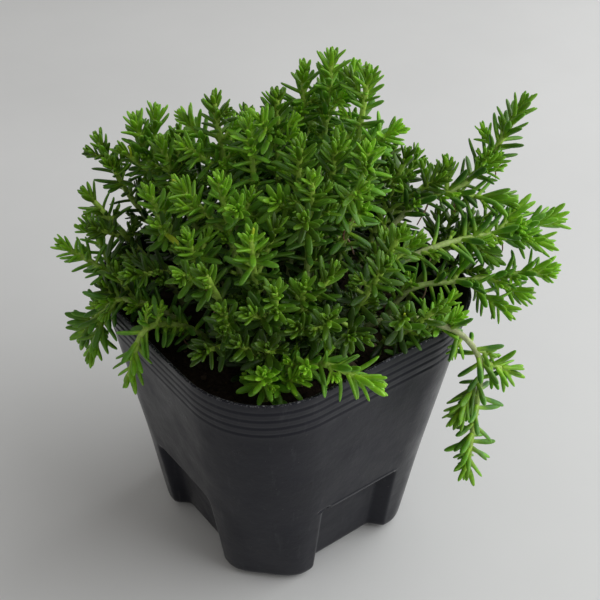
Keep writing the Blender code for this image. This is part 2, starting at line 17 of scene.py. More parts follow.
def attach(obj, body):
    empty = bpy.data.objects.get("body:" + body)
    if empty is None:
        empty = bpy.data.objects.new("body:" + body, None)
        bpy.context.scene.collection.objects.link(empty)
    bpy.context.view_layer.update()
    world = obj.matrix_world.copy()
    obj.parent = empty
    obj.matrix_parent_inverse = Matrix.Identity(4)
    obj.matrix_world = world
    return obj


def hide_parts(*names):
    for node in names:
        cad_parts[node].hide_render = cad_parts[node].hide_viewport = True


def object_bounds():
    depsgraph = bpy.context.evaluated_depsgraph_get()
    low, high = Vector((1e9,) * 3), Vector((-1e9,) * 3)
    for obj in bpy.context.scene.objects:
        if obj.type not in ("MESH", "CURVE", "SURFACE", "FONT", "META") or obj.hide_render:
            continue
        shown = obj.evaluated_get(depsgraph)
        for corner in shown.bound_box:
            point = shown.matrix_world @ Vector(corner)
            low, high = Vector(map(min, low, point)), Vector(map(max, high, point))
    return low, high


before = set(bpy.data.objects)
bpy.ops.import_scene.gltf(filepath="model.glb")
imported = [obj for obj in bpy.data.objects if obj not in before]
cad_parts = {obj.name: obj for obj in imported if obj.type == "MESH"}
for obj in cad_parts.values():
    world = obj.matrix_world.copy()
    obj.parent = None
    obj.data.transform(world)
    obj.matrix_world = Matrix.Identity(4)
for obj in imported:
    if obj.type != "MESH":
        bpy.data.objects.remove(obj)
CAD_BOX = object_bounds()

MM = 0.001
GAP = 0.3  # kept between pieces that touch

# The pot, outside
POT_HEIGHT = 85.0
TOP_HALF = 45.0
BASE_HALF = 33.2
TOP_CORNER = 25.0
BASE_CORNER = 23.0
WALL = 0.8
FLOOR = 1.0
FOOT_EDGE = 3.5

# Four grooves round the wall under the rim
GROOVES = 4
GROOVE_FIRST = 3.3
GROOVE_STEP = 3.0

# A set-back panel low on each face leaves a foot at each corner
PANEL_HALF = 13.4
PANEL_HEIGHT = 30.5
PANEL_DEPTH = 3.9

# Drain holes in the floor, clear of its middle
DRAINS = 4
DRAIN_RADIUS = 3.5
DRAIN_OUT = 17.0

# The soil's top, below the rim
SOIL_TOP = 73.0

# Stems
STEM_RADIUS = 1.0
TIP_RADIUS = 0.6
CORE_RADIUS = 1.15
SIDE_RADIUS = 0.75
STEM_DEPTH = 6.0
STEM_FOOT = 3.0
STEP = 18.0
TRAILING_STEP = 13.0
SIDE_STEP = 15.0
BUD = 4.5
BUD_RADIUS = 0.2
STEM_SPACING = 5.2
STEM_ROOM = 3.2
DRAWN_IN = 0.97
CLEAR = 0.35
SPREADING_ROUNDS = 60
LOOSENING_ROUNDS = 40
LOOSENING = 0.6
# How many straight pieces of stems and leaves a crowd can hold
MOST = 20000

# A stem's foot lies this share of the way out to its tip: the tall ones' nearer the middle
FOOT_SHARE_TALL = 0.42
FOOT_SHARE_LOW = 0.80
FOOT_STRAY = 2.0
TALL = 140.0
LOW = 80.0

# A stem leans out as it leaves the soil and again at its tip, more where its tip is low
LEAN_AT_FOOT = 0.015
LEAN_AT_TIP = 0.25
LEANING_BELOW = 120.0
LEANING_OVER = 40.0
LEAN_REACH = 60.0
SINK_AT_TIP = 0.35

# A side shoot forks off this far below its main stem's tip, as a share of its reach and a length more
FORK_SHARE = 0.9
FORK_BELOW = 8.0
FORK_ALONG = 0.6

# Leaves: plump and blunt, flat above and keeled below
LEAF_WIDTH = 2.0
LEAF_FREE = 0.3  # the share of its length, from its root, that its own neighbours may touch
LEAF_NEAR = 0.7  # the share of its radius that keeps clear of its own neighbours
LEAF_STRAY = 0.08
SPREAD_STRAY = 0.09
LEAF_SHORT = 4.5
LEAF_LONG = 8.2
LEAF_GROWN = 6.0
LEAF_RISE = 0.07
LEAF_WIDEST = 0.64
TIP_SPREAD = math.radians(20)
FULL_SPREAD = math.radians(68)
SPREAD_OVER = 5.5
GOLDEN = math.radians(137.5)
LEAVES_BELOW_TIP = (0.8, 2.4, 4.8, 8.2, 12.8, 18.8)
LEAVES_ON_SIDE = (0.8, 2.6, 5.2, 9.0)
BACK_LEAVES = (0.8, 3.0, 6.8, 12.5)
BACK_LEAVES_ON_SIDE = (0.8, 3.0, 6.5)
# What a leaf tries, to keep clear of others: a turn round the stem, a change of spread, a share of length
LEAF_TRIES = (
    (0.0, 0.0, 1.0),
    (0.45, 0.0, 1.0),
    (-0.45, 0.0, 1.0),
    (0.0, -0.35, 1.0),
    (0.9, -0.2, 0.9),
    (-0.9, -0.2, 0.9),
    (0.3, -0.5, 0.8),
)
SEED = 7

# The clump's best side is turned this far from the pot's front face
FACING = math.radians(53.3)

# Each stem's own tip, then any side shoots', as seen from the best side: to the right, to the back, height
STEMS = {
    "crown": ((13, 8, 149), (19, 14, 143)),
    "crown_right": ((22, 0, 148), (29, -4, 135)),
    "crown_left": ((6, 10, 144), (13, 20, 137)),
    "crown_front": ((-1, 3, 141), (-5, -4, 138)),
    "column": ((22, -10, 132),),
    "upper_right": ((34, 12, 118), (38, 18, 101), (43, 5, 116)),
    "upper_front": ((5, -13, 135), (-1, -20, 124)),
    "upper_front_right": ((14, -11, 134), (20, -20, 127)),
    "middle": ((8, -21, 131), (6, -29, 124)),
    "tall_left": ((-17, 2, 140), (-25, 6, 133), (-25, -3, 130)),
    "inner_left": ((-8, -4, 136), (-11, -24, 124)),
    "thin_left": ((-40, 16, 126), (-35, 19, 128), (-43, 10, 121)),
    "shoulder_left": ((-32, 6, 125), (-28, 12, 126)),
    "far_left": ((-51, 18, 120), (-47, 11, 116)),
    "left_middle": ((-15, -18, 128), (-25, -14, 124)),
    "left_front": ((-34, -9, 119), (-31, -19, 116), (-38, -25, 105)),
    "left_side": ((-53, 4, 111), (-50, -5, 106)),
    "left_reach": ((-61, 1, 96), (-55, 10, 99)),
    "left_low": ((-48, -13, 92), (-44, -15, 98)),
    "front_left": ((-23, -27, 117), (-24, -34, 111)),
    "star_left": ((-18, -36, 113),),
    "front_upper": ((-7, -32, 121), (-1, -26, 120)),
    "front_middle": ((-1, -41, 111), (-7, -44, 107)),
    "front_low_left": ((-14, -42, 106), (-19, -45, 96)),
    "front_low": ((-3, -47, 99), (-10, -47, 100)),
    "star_middle": ((6, -37, 110), (13, -34, 112)),
    "star_low": ((12, -43, 105), (4, -44, 103)),
    "right_front": ((26, -31, 112), (17, -43, 99)),
    "right_front_upper": ((30, -22, 115), (35, -17, 110), (27, -14, 108)),
    "right_low": ((40, -29, 97), (31, -36, 100)),
    "right_bright": ((46, -24, 90), (46, -12, 87)),
    "right_middle": ((54, 8, 99), (49, 10, 104), (54, -2, 90), (44, 9, 101), (60, 13, 100)),
    "front_drop": ((-4, -47, 90), (5, -44, 87)),
}

# Stems that lean far out or trail over the rim: the points they pass, then their tips as above
TRAILING = {
    "reach_right": (
        ((29, 2, 100), (40, 5, 110), (53, 9, 114)),
        ((64, 13, 133), (57, 9, 119), (45, 8, 117), (62, 8, 107)),
    ),
    "arch_right": (
        ((30, -8, 95), (46, -4, 101), (62, 4, 99)),
        ((76, 9, 100), (58, 2, 92), (72, 2, 97), (66, 9, 103)),
    ),
    "side_right": (
        ((38, -6, 88), (54, -4, 88)),
        ((74, -1, 90), (62, -10, 82), (67, -6, 85), (55, 5, 96)),
    ),
    "over_rim": (
        ((26, -24, 87), (40, -23, 89), (53, -26, 80)),
        ((53, -30, 40), (62, -24, 72), (48, -34, 66)),
    ),
    "left_droop": (((-36, -14, 87), (-47, -12, 89)), ((-57, -8, 72), (-53, -17, 74))),
    "left_spill": (((-26, -20, 84), (-35, -27, 90)), ((-40, -34, 79),)),
    "front_spill": (((-2, -36, 82), (9, -42, 90)), ((22, -47, 88),)),
}

# Stems behind the crown follow one rule: they fan out behind it in three rows that fall away
BACK_STEMS = 18
BACK_FROM = 12.0
BACK_SWEEP = 156.0
BACK_OUT = (18, 42, 30)
BACK_WIDER = 1.1
BACK_BEHIND = 6.0
BACK_STRAY = 4.0
BACK_BOB = 3.0
BACK_CROWN = 131.0
BACK_FALL = 0.014
# Their side shoots: how much wider and further back than the tip, a step right, a step back, a step down
BACK_SIDES = ((1.12, 1.1, 3, 4, 9), (0.9, 1.1, -5, 5, 14))

# Vectors and curves


def unit(vector):
    vector = np.asarray(vector, float)
    return vector / max(np.linalg.norm(vector), 1e-9)


def turned(point):
    """From the clump's own terms, right and back of its best side, to the pot's X and Y."""
    c, s = math.cos(FACING), math.sin(FACING)
    return np.array([c * point[0] - s * point[1], s * point[0] + c * point[1], point[2]])


def share_of(value, start, end):
    """How far a value has come from a start to an end, from 0 to 1."""
    return min(1, max(0, (value - start) / (end - start)))


def nearing(first, last, below, over):
    """A measure that is first in a shoot's tip and nears last further below it."""
    return first + (last - first) * (1 - math.exp(-below / over))


def hermite(start, leave, end, arrive, count=24):
    """Points on a smooth curve that leaves its start and reaches its end in the given directions."""
    start, end = np.asarray(start, float), np.asarray(end, float)
    reach = np.linalg.norm(end - start)
    t = np.linspace(0, 1, count)[:, None]
    at_start = (2 * t**3 - 3 * t**2 + 1) * start + (t**3 - 2 * t**2 + t) * reach * unit(leave)
    at_end = (3 * t**2 - 2 * t**3) * end + (t**3 - t**2) * reach * unit(arrive)
    return at_start + at_end


def through(points, count=8):
    """Points on a smooth curve through all the given points."""
    p = np.asarray(points, float)
    p = np.vstack([2 * p[0] - p[1], p, 2 * p[-1] - p[-2]])
    curve = []
    for i in range(1, len(p) - 2):
        a, b, c, d = p[i - 1 : i + 3]
        for t in np.arange(count) / count:
            bend = (2 * a - 5 * b + 4 * c - d) * t**2 + (3 * b - a - 3 * c + d) * t**3
            curve.append(0.5 * (2 * b + (c - a) * t + bend))
    curve.append(p[-2])
    return np.array(curve)


def lengths_along(path):
    return np.r_[0, np.cumsum(np.linalg.norm(np.diff(path, axis=0), axis=1))]


def spaced(path, step):
    """The same curve with its points about one step apart."""
    along = lengths_along(path)
    count = max(1, round(along[-1] / step))
    at = np.linspace(0, along[-1], count + 1)
    return np.stack([np.interp(at, along, path[:, k]) for k in range(3)], axis=1)


def below_tip(path, distance):
    """The point this far below the path's end, and the path's direction there."""
    along = lengths_along(path)
    at = max(along[-1] - distance, 0)
    point = np.array([np.interp(at, along, path[:, k]) for k in range(3)])
    leg = min(np.searchsorted(along, at, side="right"), len(path) - 1)
    return point, unit(path[leg] - path[leg - 1])


def apart(starts, ends, other_starts, other_ends):
    """How near each leg of one set comes to each leg of another, and the way between them."""
    d1 = (ends - starts)[:, None]
    d2 = (other_ends - other_starts)[None]
    between = starts[:, None] - other_starts[None]
    a = np.maximum((d1 * d1).sum(2), 1e-9)
    e = np.maximum((d2 * d2).sum(2), 1e-9)
    f, c, b = (d2 * between).sum(2), (d1 * between).sum(2), (d1 * d2).sum(2)
    s = np.clip((b * f - c * e) / np.maximum(a * e - b * b, 1e-9), 0, 1)
    t = np.clip((b * s + f) / e, 0, 1)
    s = np.clip((b * t - c) / a, 0, 1)
    way = between + d1 * s[..., None] - d2 * t[..., None]
    return np.sqrt((way * way).sum(2)), way


# The planting plan


def wall_half(height):
    return BASE_HALF + (TOP_HALF - BASE_HALF) * height / POT_HEIGHT


def corner_radius(height):
    return BASE_CORNER + (TOP_CORNER - BASE_CORNER) * height / POT_HEIGHT


def inside_outline(x, y, height):
    """How far a place at a height lies inside the pot's outer wall, less than 0 outside it."""
    half, corner = wall_half(height), corner_radius(height)
    over = np.maximum(np.abs([x, y]) - (half - corner), 0)
    return corner - math.hypot(*over) if over.any() else half - max(abs(x), abs(y))


def inside_wall(point):
    """The same for a point in the clump's terms."""
    return inside_outline(*turned(point))


def keep_on_soil(place):
    """Draws a stem's foot in, a little at a time, until it has room inside the wall."""
    while inside_wall((*place, SOIL_TOP)) - WALL < STEM_ROOM:
        place *= DRAWN_IN


def back_rows():
    """The stems behind the crown: their tips fall away from it, each with two side shoots."""
    rows = {}
    for k in range(BACK_STEMS):
        way = math.radians(BACK_FROM + BACK_SWEEP * (k + 0.5) / BACK_STEMS)
        out = BACK_OUT[k % len(BACK_OUT)] + BACK_STRAY * math.sin(5 * k)
        height = BACK_CROWN - BACK_FALL * out**2 + BACK_BOB * math.cos(7 * k)
        tips = [(BACK_WIDER * out * math.cos(way), out * math.sin(way) + BACK_BEHIND, height)]
        for wider, further, right, back, down in BACK_SIDES:
            tips.append((wider * tips[0][0] + right, further * tips[0][1] + back, height - down))
        rows[f"back_{k + 1:02d}"] = tuple(tips)
    return rows


def all_rows():
    """Every stem's name, its tips and the points that it passes."""
    rows = {name: (tips, ()) for name, tips in STEMS.items()}
    rows.update({name: (tips, passes) for name, (passes, tips) in TRAILING.items()})
    rows.update({name: (tips, ()) for name, tips in back_rows().items()})
    return rows


def plan_bases(rows):
    """Where each stem leaves the soil: nearer the middle than its tip, and clear of the others."""
    bases = {}
    for index, (name, (tips, passes)) in enumerate(rows.items()):
        draw = random.Random(SEED + index)
        aim = passes[0] if passes else tips[0]
        low = share_of(aim[2], TALL, LOW)
        share = FOOT_SHARE_TALL + (FOOT_SHARE_LOW - FOOT_SHARE_TALL) * low
        stray = (draw.uniform(-FOOT_STRAY, FOOT_STRAY), draw.uniform(-FOOT_STRAY, FOOT_STRAY))
        bases[name] = share * np.array(aim[:2]) + stray
        keep_on_soil(bases[name])
    for _ in range(SPREADING_ROUNDS):
        for first, second in itertools.combinations(bases.values(), 2):
            way = first - second
            far = max(math.hypot(*way), 0.01)
            if far < STEM_SPACING:
                push = way / far * (STEM_SPACING - far) / 2
                first += push
                second -= push
        for base in bases.values():
            keep_on_soil(base)
    return bases


def plan_main(base, tips, passes):
    """One stem's own path, from its foot in the soil to its tip."""
    ground = np.array([*base, SOIL_TOP])
    foot = ground + (0, 0, STEM_FOOT)
    tip = np.array(tips[0], float)
    if passes:
        curve = through([foot, *passes, tip])
    else:
        low = max(0, (LEANING_BELOW - tip[2]) / LEANING_OVER)
        leave = (tip - foot) * (1, 1, 0) * LEAN_AT_FOOT + (0, 0, 1)
        lean = (LEAN_AT_TIP + low) / LEAN_REACH
        curve = hermite(foot, leave, tip, (lean * tip[0], lean * tip[1], 1 - SINK_AT_TIP * low))
    legs = spaced(curve, TRAILING_STEP if passes else STEP)
    return with_bud(np.vstack([ground - (0, 0, STEM_DEPTH), legs]))


def loosen(mains):
    """Bends stems off each other until every pair is clear."""
    need = 2 * STEM_RADIUS + CLEAR
    for _ in range(LOOSENING_ROUNDS):
        touched = False
        for a, b in itertools.combinations(mains.values(), 2):
            if (a.min(0) - need > b.max(0)).any() or (b.min(0) - need > a.max(0)).any():
                continue
            far, way = apart(a[:-1], a[1:], b[:-1], b[1:])
            i, j = np.unravel_index(np.argmin(far), far.shape)
            if far[i, j] >= need:
                continue
            touched = True
            push = LOOSENING * (need + 0.1 - far[i, j]) * unit(way[i, j] + (0.01, 0.02, 0))
            for path, leg, move in ((a, i, push), (b, j, -push)):
                for k in (leg, leg + 1):
                    if 2 <= k < len(path) - 2:
                        path[k] += move
        if not touched:
            return


def plan_side(main, tip):
    """A side shoot's path: it forks off the main stem some way below its own tip."""
    tip = np.asarray(tip, float)
    reach = np.linalg.norm(main[-2] - tip)
    start, along = below_tip(main, BUD + FORK_SHARE * reach + FORK_BELOW)
    arrive = unit(tip - start) + FORK_ALONG * along
    return with_bud(spaced(hermite(start, along + unit(tip - start), tip, arrive), SIDE_STEP))


def with_bud(path):
    """The path with its last leg drawn out past the tip, which the stem's end tapers over."""
    return np.vstack([path, path[-1] + BUD * unit(path[-1] - path[-2])])


def radii_of(path, base_radius):
    """A stem's radius at each point: it thins towards its tip, where its unopened leaves make a bud."""
    share = lengths_along(path[:-1]) / lengths_along(path[:-1])[-1]
    radii = base_radius + (TIP_RADIUS - base_radius) * share**2
    return np.r_[radii[:-1], CORE_RADIUS, BUD_RADIUS]


class Stem:
    """One rooted stem: shoots[0] is its own path and the rest are side shoots, all as point arrays."""

    def __init__(self, name, main):
        self.name = name
        self.shoots = [main]
        self.leaves = []


class Crowd:
    """The straight pieces of stems and leaves that already stand, each with its radius and owner."""

    def __init__(self):
        self.starts, self.ends = np.zeros((MOST, 3)), np.zeros((MOST, 3))
        self.radii, self.owners = np.zeros(MOST), np.empty(MOST, object)
        self.count = 0

    def add(self, start, end, radius, owner):
        k = self.count
        self.starts[k], self.ends[k], self.radii[k], self.owners[k] = start, end, radius, owner
        self.count += 1

    def add_path(self, path, radii, owner):
        for k in range(len(path) - 1):
            self.add(path[k], path[k + 1], max(radii[k], radii[k + 1]), owner)

    def is_clear(self, path, radii, owner):
        """Whether a whole path keeps clear of all that others own."""
        others = np.flatnonzero(self.owners[: self.count] != owner)
        if not len(others):
            return True
        far = apart(path[:-1], path[1:], self.starts[others], self.ends[others])[0]
        legs = np.maximum(radii[:-1], radii[1:])[:, None]
        return bool((far - legs - self.radii[others][None] > CLEAR).all())

    def has_room(self, start, end, radius, owner):
        """Whether a fine piece fits in: its own stem's pieces may come nearer than others'."""
        n = self.count
        low = np.minimum(start, end) - radius - BLADE_WIDTH
        high = np.maximum(start, end) + radius + BLADE_WIDTH
        above = (np.maximum(self.starts[:n], self.ends[:n]) > low).all(1)
        near = np.flatnonzero(above & (np.minimum(self.starts[:n], self.ends[:n]) < high).all(1))
        if not len(near):
            return True
        far = apart(start[None], end[None], self.starts[near], self.ends[near])[0][0]
        share = np.where(self.owners[near] == owner, OWN_NEAR, OTHERS_NEAR)
        return bool((far > share * (radius + self.radii[near])).all())


def off_pot(path, radii):
    """Whether a path stays clear of the soil and of the pot's wall and rim."""
    for k in range(len(path) - 1):
        for t in np.linspace(0, 1, 12):
            point = path[k] + t * (path[k + 1] - path[k])
            reach = max(radii[k], radii[k + 1]) + CLEAR
            inside = inside_wall(point)
            in_wall_band = -reach < inside < WALL + reach
            if point[2] < POT_HEIGHT + reach and in_wall_band:
                return False
            if point[2] < SOIL_TOP + reach and inside > 0:
                return False
    return True


def leaf_frame(shoot, below, turn, spread):
    """Where a leaf is rooted, the way that it points, and the way that its flat face looks."""
    root, along = below_tip(shoot, BUD + below)
    side = unit(np.cross(along, (0.3, 0.2, 1) if abs(along[2]) < 0.9 else (1, 0, 0)))
    out = math.cos(turn) * side + math.sin(turn) * np.cross(along, side)
    way = math.cos(spread) * along + math.sin(spread) * out
    return root, way, math.sin(spread) * along - math.cos(spread) * out


def leaf_path(shoot, below, turn, spread, length):
    """A leaf's root, its widest place and its tip, and the way that its flat face looks."""
    root, way, face = leaf_frame(shoot, below, turn, spread)
    tip = root + length * way + LEAF_RISE * length * face
    return np.array([root, root + LEAF_WIDEST * length * way, tip]), face


def leaf_places(stem, is_main):
    """How far below a shoot's tip its leaves sit: fewer on the stems behind the crown."""
    if stem.name.startswith("back_"):
        return BACK_LEAVES if is_main else BACK_LEAVES_ON_SIDE
    return LEAVES_BELOW_TIP if is_main else LEAVES_ON_SIDE


def plan_leaves(stem, room, draw):
    """Leaves up every shoot by the golden angle. One that would touch another stem turns, shrinks or goes."""
    turn = draw.uniform(0, 2 * math.pi)
    own = Crowd()
    radii = np.full(3, LEAF_WIDTH / 2)
    for k, shoot in enumerate(stem.shoots):
        for below in leaf_places(stem, k == 0):
            turn += GOLDEN
            length = nearing(LEAF_SHORT, LEAF_LONG, below, LEAF_GROWN)
            length *= draw.uniform(1 - LEAF_STRAY, 1 + LEAF_STRAY)
            spread = nearing(TIP_SPREAD, FULL_SPREAD, below, SPREAD_OVER)
            spread += draw.uniform(-SPREAD_STRAY, SPREAD_STRAY)
            for shift, tilt, size in LEAF_TRIES:
                path, face = leaf_path(shoot, below, turn + shift, spread + tilt, size * length)
                free = path.copy()
                free[0] += LEAF_FREE * (path[2] - path[0])
                if not (off_pot(free, radii) and own.is_clear(free, LEAF_NEAR * radii, stem.name)):
                    continue
                if room.is_clear(path, radii, stem.name):
                    room.add_path(path, radii, stem.name)
                    own.add_path(free, LEAF_NEAR * radii, "a leaf")
                    stem.leaves.append((path, face))
                    break


def plan_clump():
    """Every stem with its shoots and leaves, all clear of each other, of the pot and of the soil."""
    rows = all_rows()
    bases = plan_bases(rows)
    mains = {name: plan_main(bases[name], *rows[name]) for name in rows}
    loosen(mains)
    stems = {name: Stem(name, mains[name]) for name in rows}
    room = Crowd()
    for stem in stems.values():
        room.add_path(stem.shoots[0], radii_of(stem.shoots[0], STEM_RADIUS), stem.name)
    for stem in stems.values():
        for tip in rows[stem.name][0][1:]:
            side = plan_side(stem.shoots[0], tip)
            radii = radii_of(side, SIDE_RADIUS)
            if room.is_clear(side, radii, stem.name) and off_pot(side, radii):
                room.add_path(side, radii, stem.name)
                stem.shoots.append(side)
    for index, stem in enumerate(stems.values()):
        plan_leaves(stem, room, random.Random(SEED * 100 + index))
    return list(stems.values())


# Finer growth on the same stems

FINE_STEP = 1.6
TUBE_SIDES = 8
ROOT_SIDES = 5
TUBE_SHARE = 0.9
STEM_THINS = 0.18
# How far a stem's tube runs past where its bud starts, and its swellings: how strong and how close together
PAST_TIP = 0.6
SWELLINGS = ((0.06, 2.6), (0.04, 1.1))
# Leaves start this far past a stem's tip and end this far down, or this short of its foot
APEX = 0.6
LEAFY = 58.0
BARE_FOOT = 2.0
# Between these places down the stem ever more of them have dropped, up to this share
THIN_FROM = 30.0
THIN_TO = 72.0
THINNED = 0.9
# The gaps between them, from the tip down
FIRST_GAP = 0.34
GAP_GROWS = 0.062
WIDEST_GAP = 1.25
# The bud's leaves are short and almost closed down to the first full leaf, and all there a little further
FIRST_LEAF = 0.8
YOUNG_SHARE = 0.6
CLOSED = 0.1
BUD_LEAVES = 2.0
# How far below the tip leaves and stem have come to their full age
LEAF_AGED = 26.0
STEM_AGED = 45.0
# How much of a leaf's tone is its shoot's, and what that is for the leaves that solids have too
TONE_SHARE = 0.7
SAME_TONE = 0.5
# A leaf rolls about its length, and it bends towards its face or away from it
ROLL = 0.35
YOUNG_BELOW = 3.0
YOUNG_RISE = (-0.12, 0.14)
GROWN_RISE = (-0.30, 0.12)
BLADE_WIDTH = 2.0
BLADE_THICK = 1.15
YOUNG_WIDTH = 0.6
# A fine leaf in a solid leaf's place stops just short of its point
SAME_SHARE = 0.96
YELLOW_SHARE = 0.0025
YELLOW = 2.0
# Shoots that end among the others between these heights are the sparser the lower they end, and the lower
# they end the darker their leaves' tone, which is painted shade
SHADED_BELOW = 95.0
LIT_FROM = 133.0
SHADED_TONE = 0.05
SHADED_KEEP = 0.42
SHADED_LEAFY = 0.4
# The light that a stem needs to carry axil shoots on its sides, and on itself
LIT_ENOUGH = 0.15
HARDLY_LIT = 0.0
# Leaves deep in the clump are darker, a painted shade: the heights where that starts and ends, and how light
# they stay
DEEP_FROM = 114.0
DEEP_TO = 90.0
DEEP_TONE = 0.1
# Leaves between these distances from the middle come out of that shade
OPEN_FROM = 36.0
OPEN_BY = 47.0
# Low stems that stand out in the light all the same: their leaves get no painted shade and a lighter tone,
# which is painted light
LIGHTEST = ("front_drop", "right_bright", "front_spill", "left_reach")
# How near a leaf may come to its own stem's pieces and to others', as a share of both radii
OWN_NEAR = 0.40
OTHERS_NEAR = 0.70
NOBODY = -1
# The radii with which a shoot keeps leaves off, and with which a leaf or root keeps off the pot
SHOOT_TAKES = 0.8
FINE_RADIUS = 0.5
# A leaf's core, which keeps clear of others: from here to there along it, and its share of the width
CORE_FROM = 0.3
CORE_TO = 0.92
CORE_WIDE = 0.45
# How much a leaf's length and opening stray, and how little it opens at the least
LONG_STRAY = (0.80, 1.12)
OPEN_STRAY = 0.2
LEAST_SPREAD = 0.03
# Leaves this near the tip need no room
BUD_CROWDED = 0.5
# What a finer leaf tries, in the same terms as the solids' leaves
BLADE_TRIES = (
    (0.0, 0.0, 1.0),
    (0.5, 0.0, 1.0),
    (-0.5, 0.0, 1.0),
    (0.0, -0.35, 1.0),
    (1.0, 0.1, 0.95),
    (-1.0, 0.1, 0.95),
    (0.4, -0.6, 0.85),
    (-0.4, 0.35, 0.8),
    (0.0, -0.2, 0.65),
)
# How far inside the solids' own box all growth stays
EDGE_SPARE = 0.6
SCENE_SEED = 23

# Small shoots in the leaf axils low on the main stems
AXILS = (8.0, 12.0, 16.0, 20.0, 25.0, 30.0, 36.0, 43.0, 51.0)
AXIL_SHORT = 6.5
AXIL_LONG = 12.0
AXIL_TRIES = 20
AXIL_RADIUS = 0.6
AXIL_ROOM = 1.4
AXIL_TAKES = 0.3  # the share of that room which leaves keep out of
AXIL_LEAFY = 8.0  # how far down its leaves go
AXIL_VIGOUR = (0.6, 0.9)
AXIL_OVER_FOOT = 8.0
AXIL_OVER_SOIL = 5.0
AXIL_RISE = 0.2
# The way that its tip points: how much of its way out, of its stem's way and of the way up
AXIL_TIP = (0.4, 0.6, 0.5)
# How far a fork or a root strays along its stem, and how many points it has
FORK_STRAY = 3.0
FORK_POINTS = 8
# How long a shoot's leaves are, as a share of the usual
VIGOUR = (0.88, 1.1)
# How far a shoot's leaves open, as a share of the usual, and those of the trailing stems
OPEN = (0.86, 1.18)
TRAILING_OPEN = (0.7, 0.98)
TRAILING_TONE = (0.4, 0.9)
# How much longer the youngest leaves of the trailing stems are, and how far below the tip that fades
TRAILING_YOUNG = 0.32
TRAILING_GROWN = 5.0
# The lighter tone of those low stems' leaves, painted light
LIGHTEST_TONE = (0.75, 1.0)

# Pinkish aerial roots under the stems
ROOTS_BELOW = (17.0, 26.0, 36.0)
ROOT_SHARE = 0.35
ROOT_LONG = (5.0, 9.0)
ROOT_RADIUS = 0.32
ROOT_ENDS = 0.55
ROOT_OVER_FOOT = 12.0
ROOT_OVER_SOIL = 2.0
ROOT_STRAY = 0.5
ROOT_DROP = 1.2
ROOT_BEND = 1.0
ROOT_FOLLOWS = 0.5  # how much of its stem's way is in its start

# A leaf along its length: how far, then its share of the full width when young and when grown,
# and of the full thickness
BLADE_RINGS = np.array(
    [
        (0.00, 0.60, 0.48, 0.95),
        (0.14, 0.82, 0.60, 1.00),
        (0.36, 1.00, 0.82, 1.00),
        (0.60, 0.98, 1.00, 0.95),
        (0.80, 0.79, 0.94, 0.82),
        (0.92, 0.52, 0.68, 0.62),
        (0.98, 0.26, 0.36, 0.36),
    ]
)
SMALL_RINGS = BLADE_RINGS[[0, 2, 4, 5]]
# Its section: across, then up towards its flat face
BLADE_SECTION = np.array(
    [
        (1.00, 0.05),
        (0.62, 0.30),
        (-0.62, 0.30),
        (-1.00, 0.05),
        (-0.55, -0.52),
        (0.55, -0.52),
    ]
)
SMALL_BLADE = 4.2
GROWN_AGE = 0.45


class Blade:
    """One leaf: its root in the stem, its way out, the side its flat face looks to, and its measures."""

    def __init__(self, root, way, face, length, rise, age, tone):
        self.root, self.way, self.face = root, way, face
        self.length, self.rise, self.age, self.tone = length, rise, age, tone

    def at(self, share):
        return self.root + self.length * share * self.way + self.rise * self.length * share**2 * self.face

    def core(self):
        """The straight piece that stands for the leaf where it must keep clear of others."""
        return self.at(CORE_FROM), self.at(CORE_TO), CORE_WIDE * blade_width(self.length)


def blade_width(length):
    return YOUNG_WIDTH + (BLADE_WIDTH - YOUNG_WIDTH) * min(1, length / LEAF_LONG)


def fine_path(shoot):
    return spaced(through(shoot), FINE_STEP)


def leaf_length(below):
    """A leaf's length by how far below the tip it sits: those past the tip are still short."""
    length = nearing(LEAF_SHORT, LEAF_LONG, max(below, 0), LEAF_GROWN)
    share = min(1, (below + APEX) / (FIRST_LEAF + APEX))
    return length * (YOUNG_SHARE + (1 - YOUNG_SHARE) * share)


def leaf_spread(below):
    """How far a leaf opens: those past the tip are almost closed."""
    spread = nearing(TIP_SPREAD, FULL_SPREAD, max(below, FIRST_LEAF), SPREAD_OVER)
    if below < FIRST_LEAF:
        spread *= CLOSED + (1 - CLOSED) * (below + APEX) / (FIRST_LEAF + APEX)
    return spread


def same_leaf(path, face, shoot, draw):
    """The fine leaf where the solid has one, with its root moved onto the stem's smooth path."""
    far = np.linalg.norm(shoot - path[0], axis=1)
    root = shoot[np.argmin(far)]
    length = SAME_SHARE * np.linalg.norm(path[2] - root)
    way = unit(path[2] - root - LEAF_RISE * length * face)
    face = unit(face - np.dot(face, way) * way)
    below = lengths_along(shoot)[-1] - lengths_along(shoot)[np.argmin(far)] - BUD
    return Blade(root, way, face, length, LEAF_RISE, age_of(below), tone_of(SAME_TONE, draw))


def age_of(below):
    return min(1, (below + APEX) / LEAF_AGED)


def tone_of(shoot_tone, draw):
    """How light a leaf is: near its shoot's own tone, or yellowed."""
    if draw.random() < YELLOW_SHARE:
        return YELLOW
    return TONE_SHARE * shoot_tone + (1 - TONE_SHARE) * draw.random()


def in_light(stem, path):
    """How much light a shoot's end gets: the low ones among the others get little."""
    if stem.name in TRAILING or stem.name in LIGHTEST:
        return 1.0
    return share_of(path[-1][2], SHADED_BELOW, LIT_FROM)


def paint_deep_shade(stem, blade):
    """Darkens a leaf by how deep in the clump it sits, a painted shade, but not the yellowed ones."""
    if stem.name in TRAILING or stem.name in LIGHTEST or blade.tone == YELLOW:
        return
    up = share_of(blade.root[2], DEEP_TO, DEEP_FROM)
    out = share_of(np.abs(turned(blade.root)[:2]).max(), OPEN_FROM, OPEN_BY)
    blade.tone *= DEEP_TONE + (1 - DEEP_TONE) * max(up, out)


def shoot_tone(stem, path, draw):
    if stem.name in LIGHTEST:
        return draw.uniform(*LIGHTEST_TONE)
    if stem.name in TRAILING:
        return draw.uniform(*TRAILING_TONE)
    # Low shoots among the others get a darker tone: painted shade
    return draw.random() * (SHADED_TONE + (1 - SHADED_TONE) * in_light(stem, path))


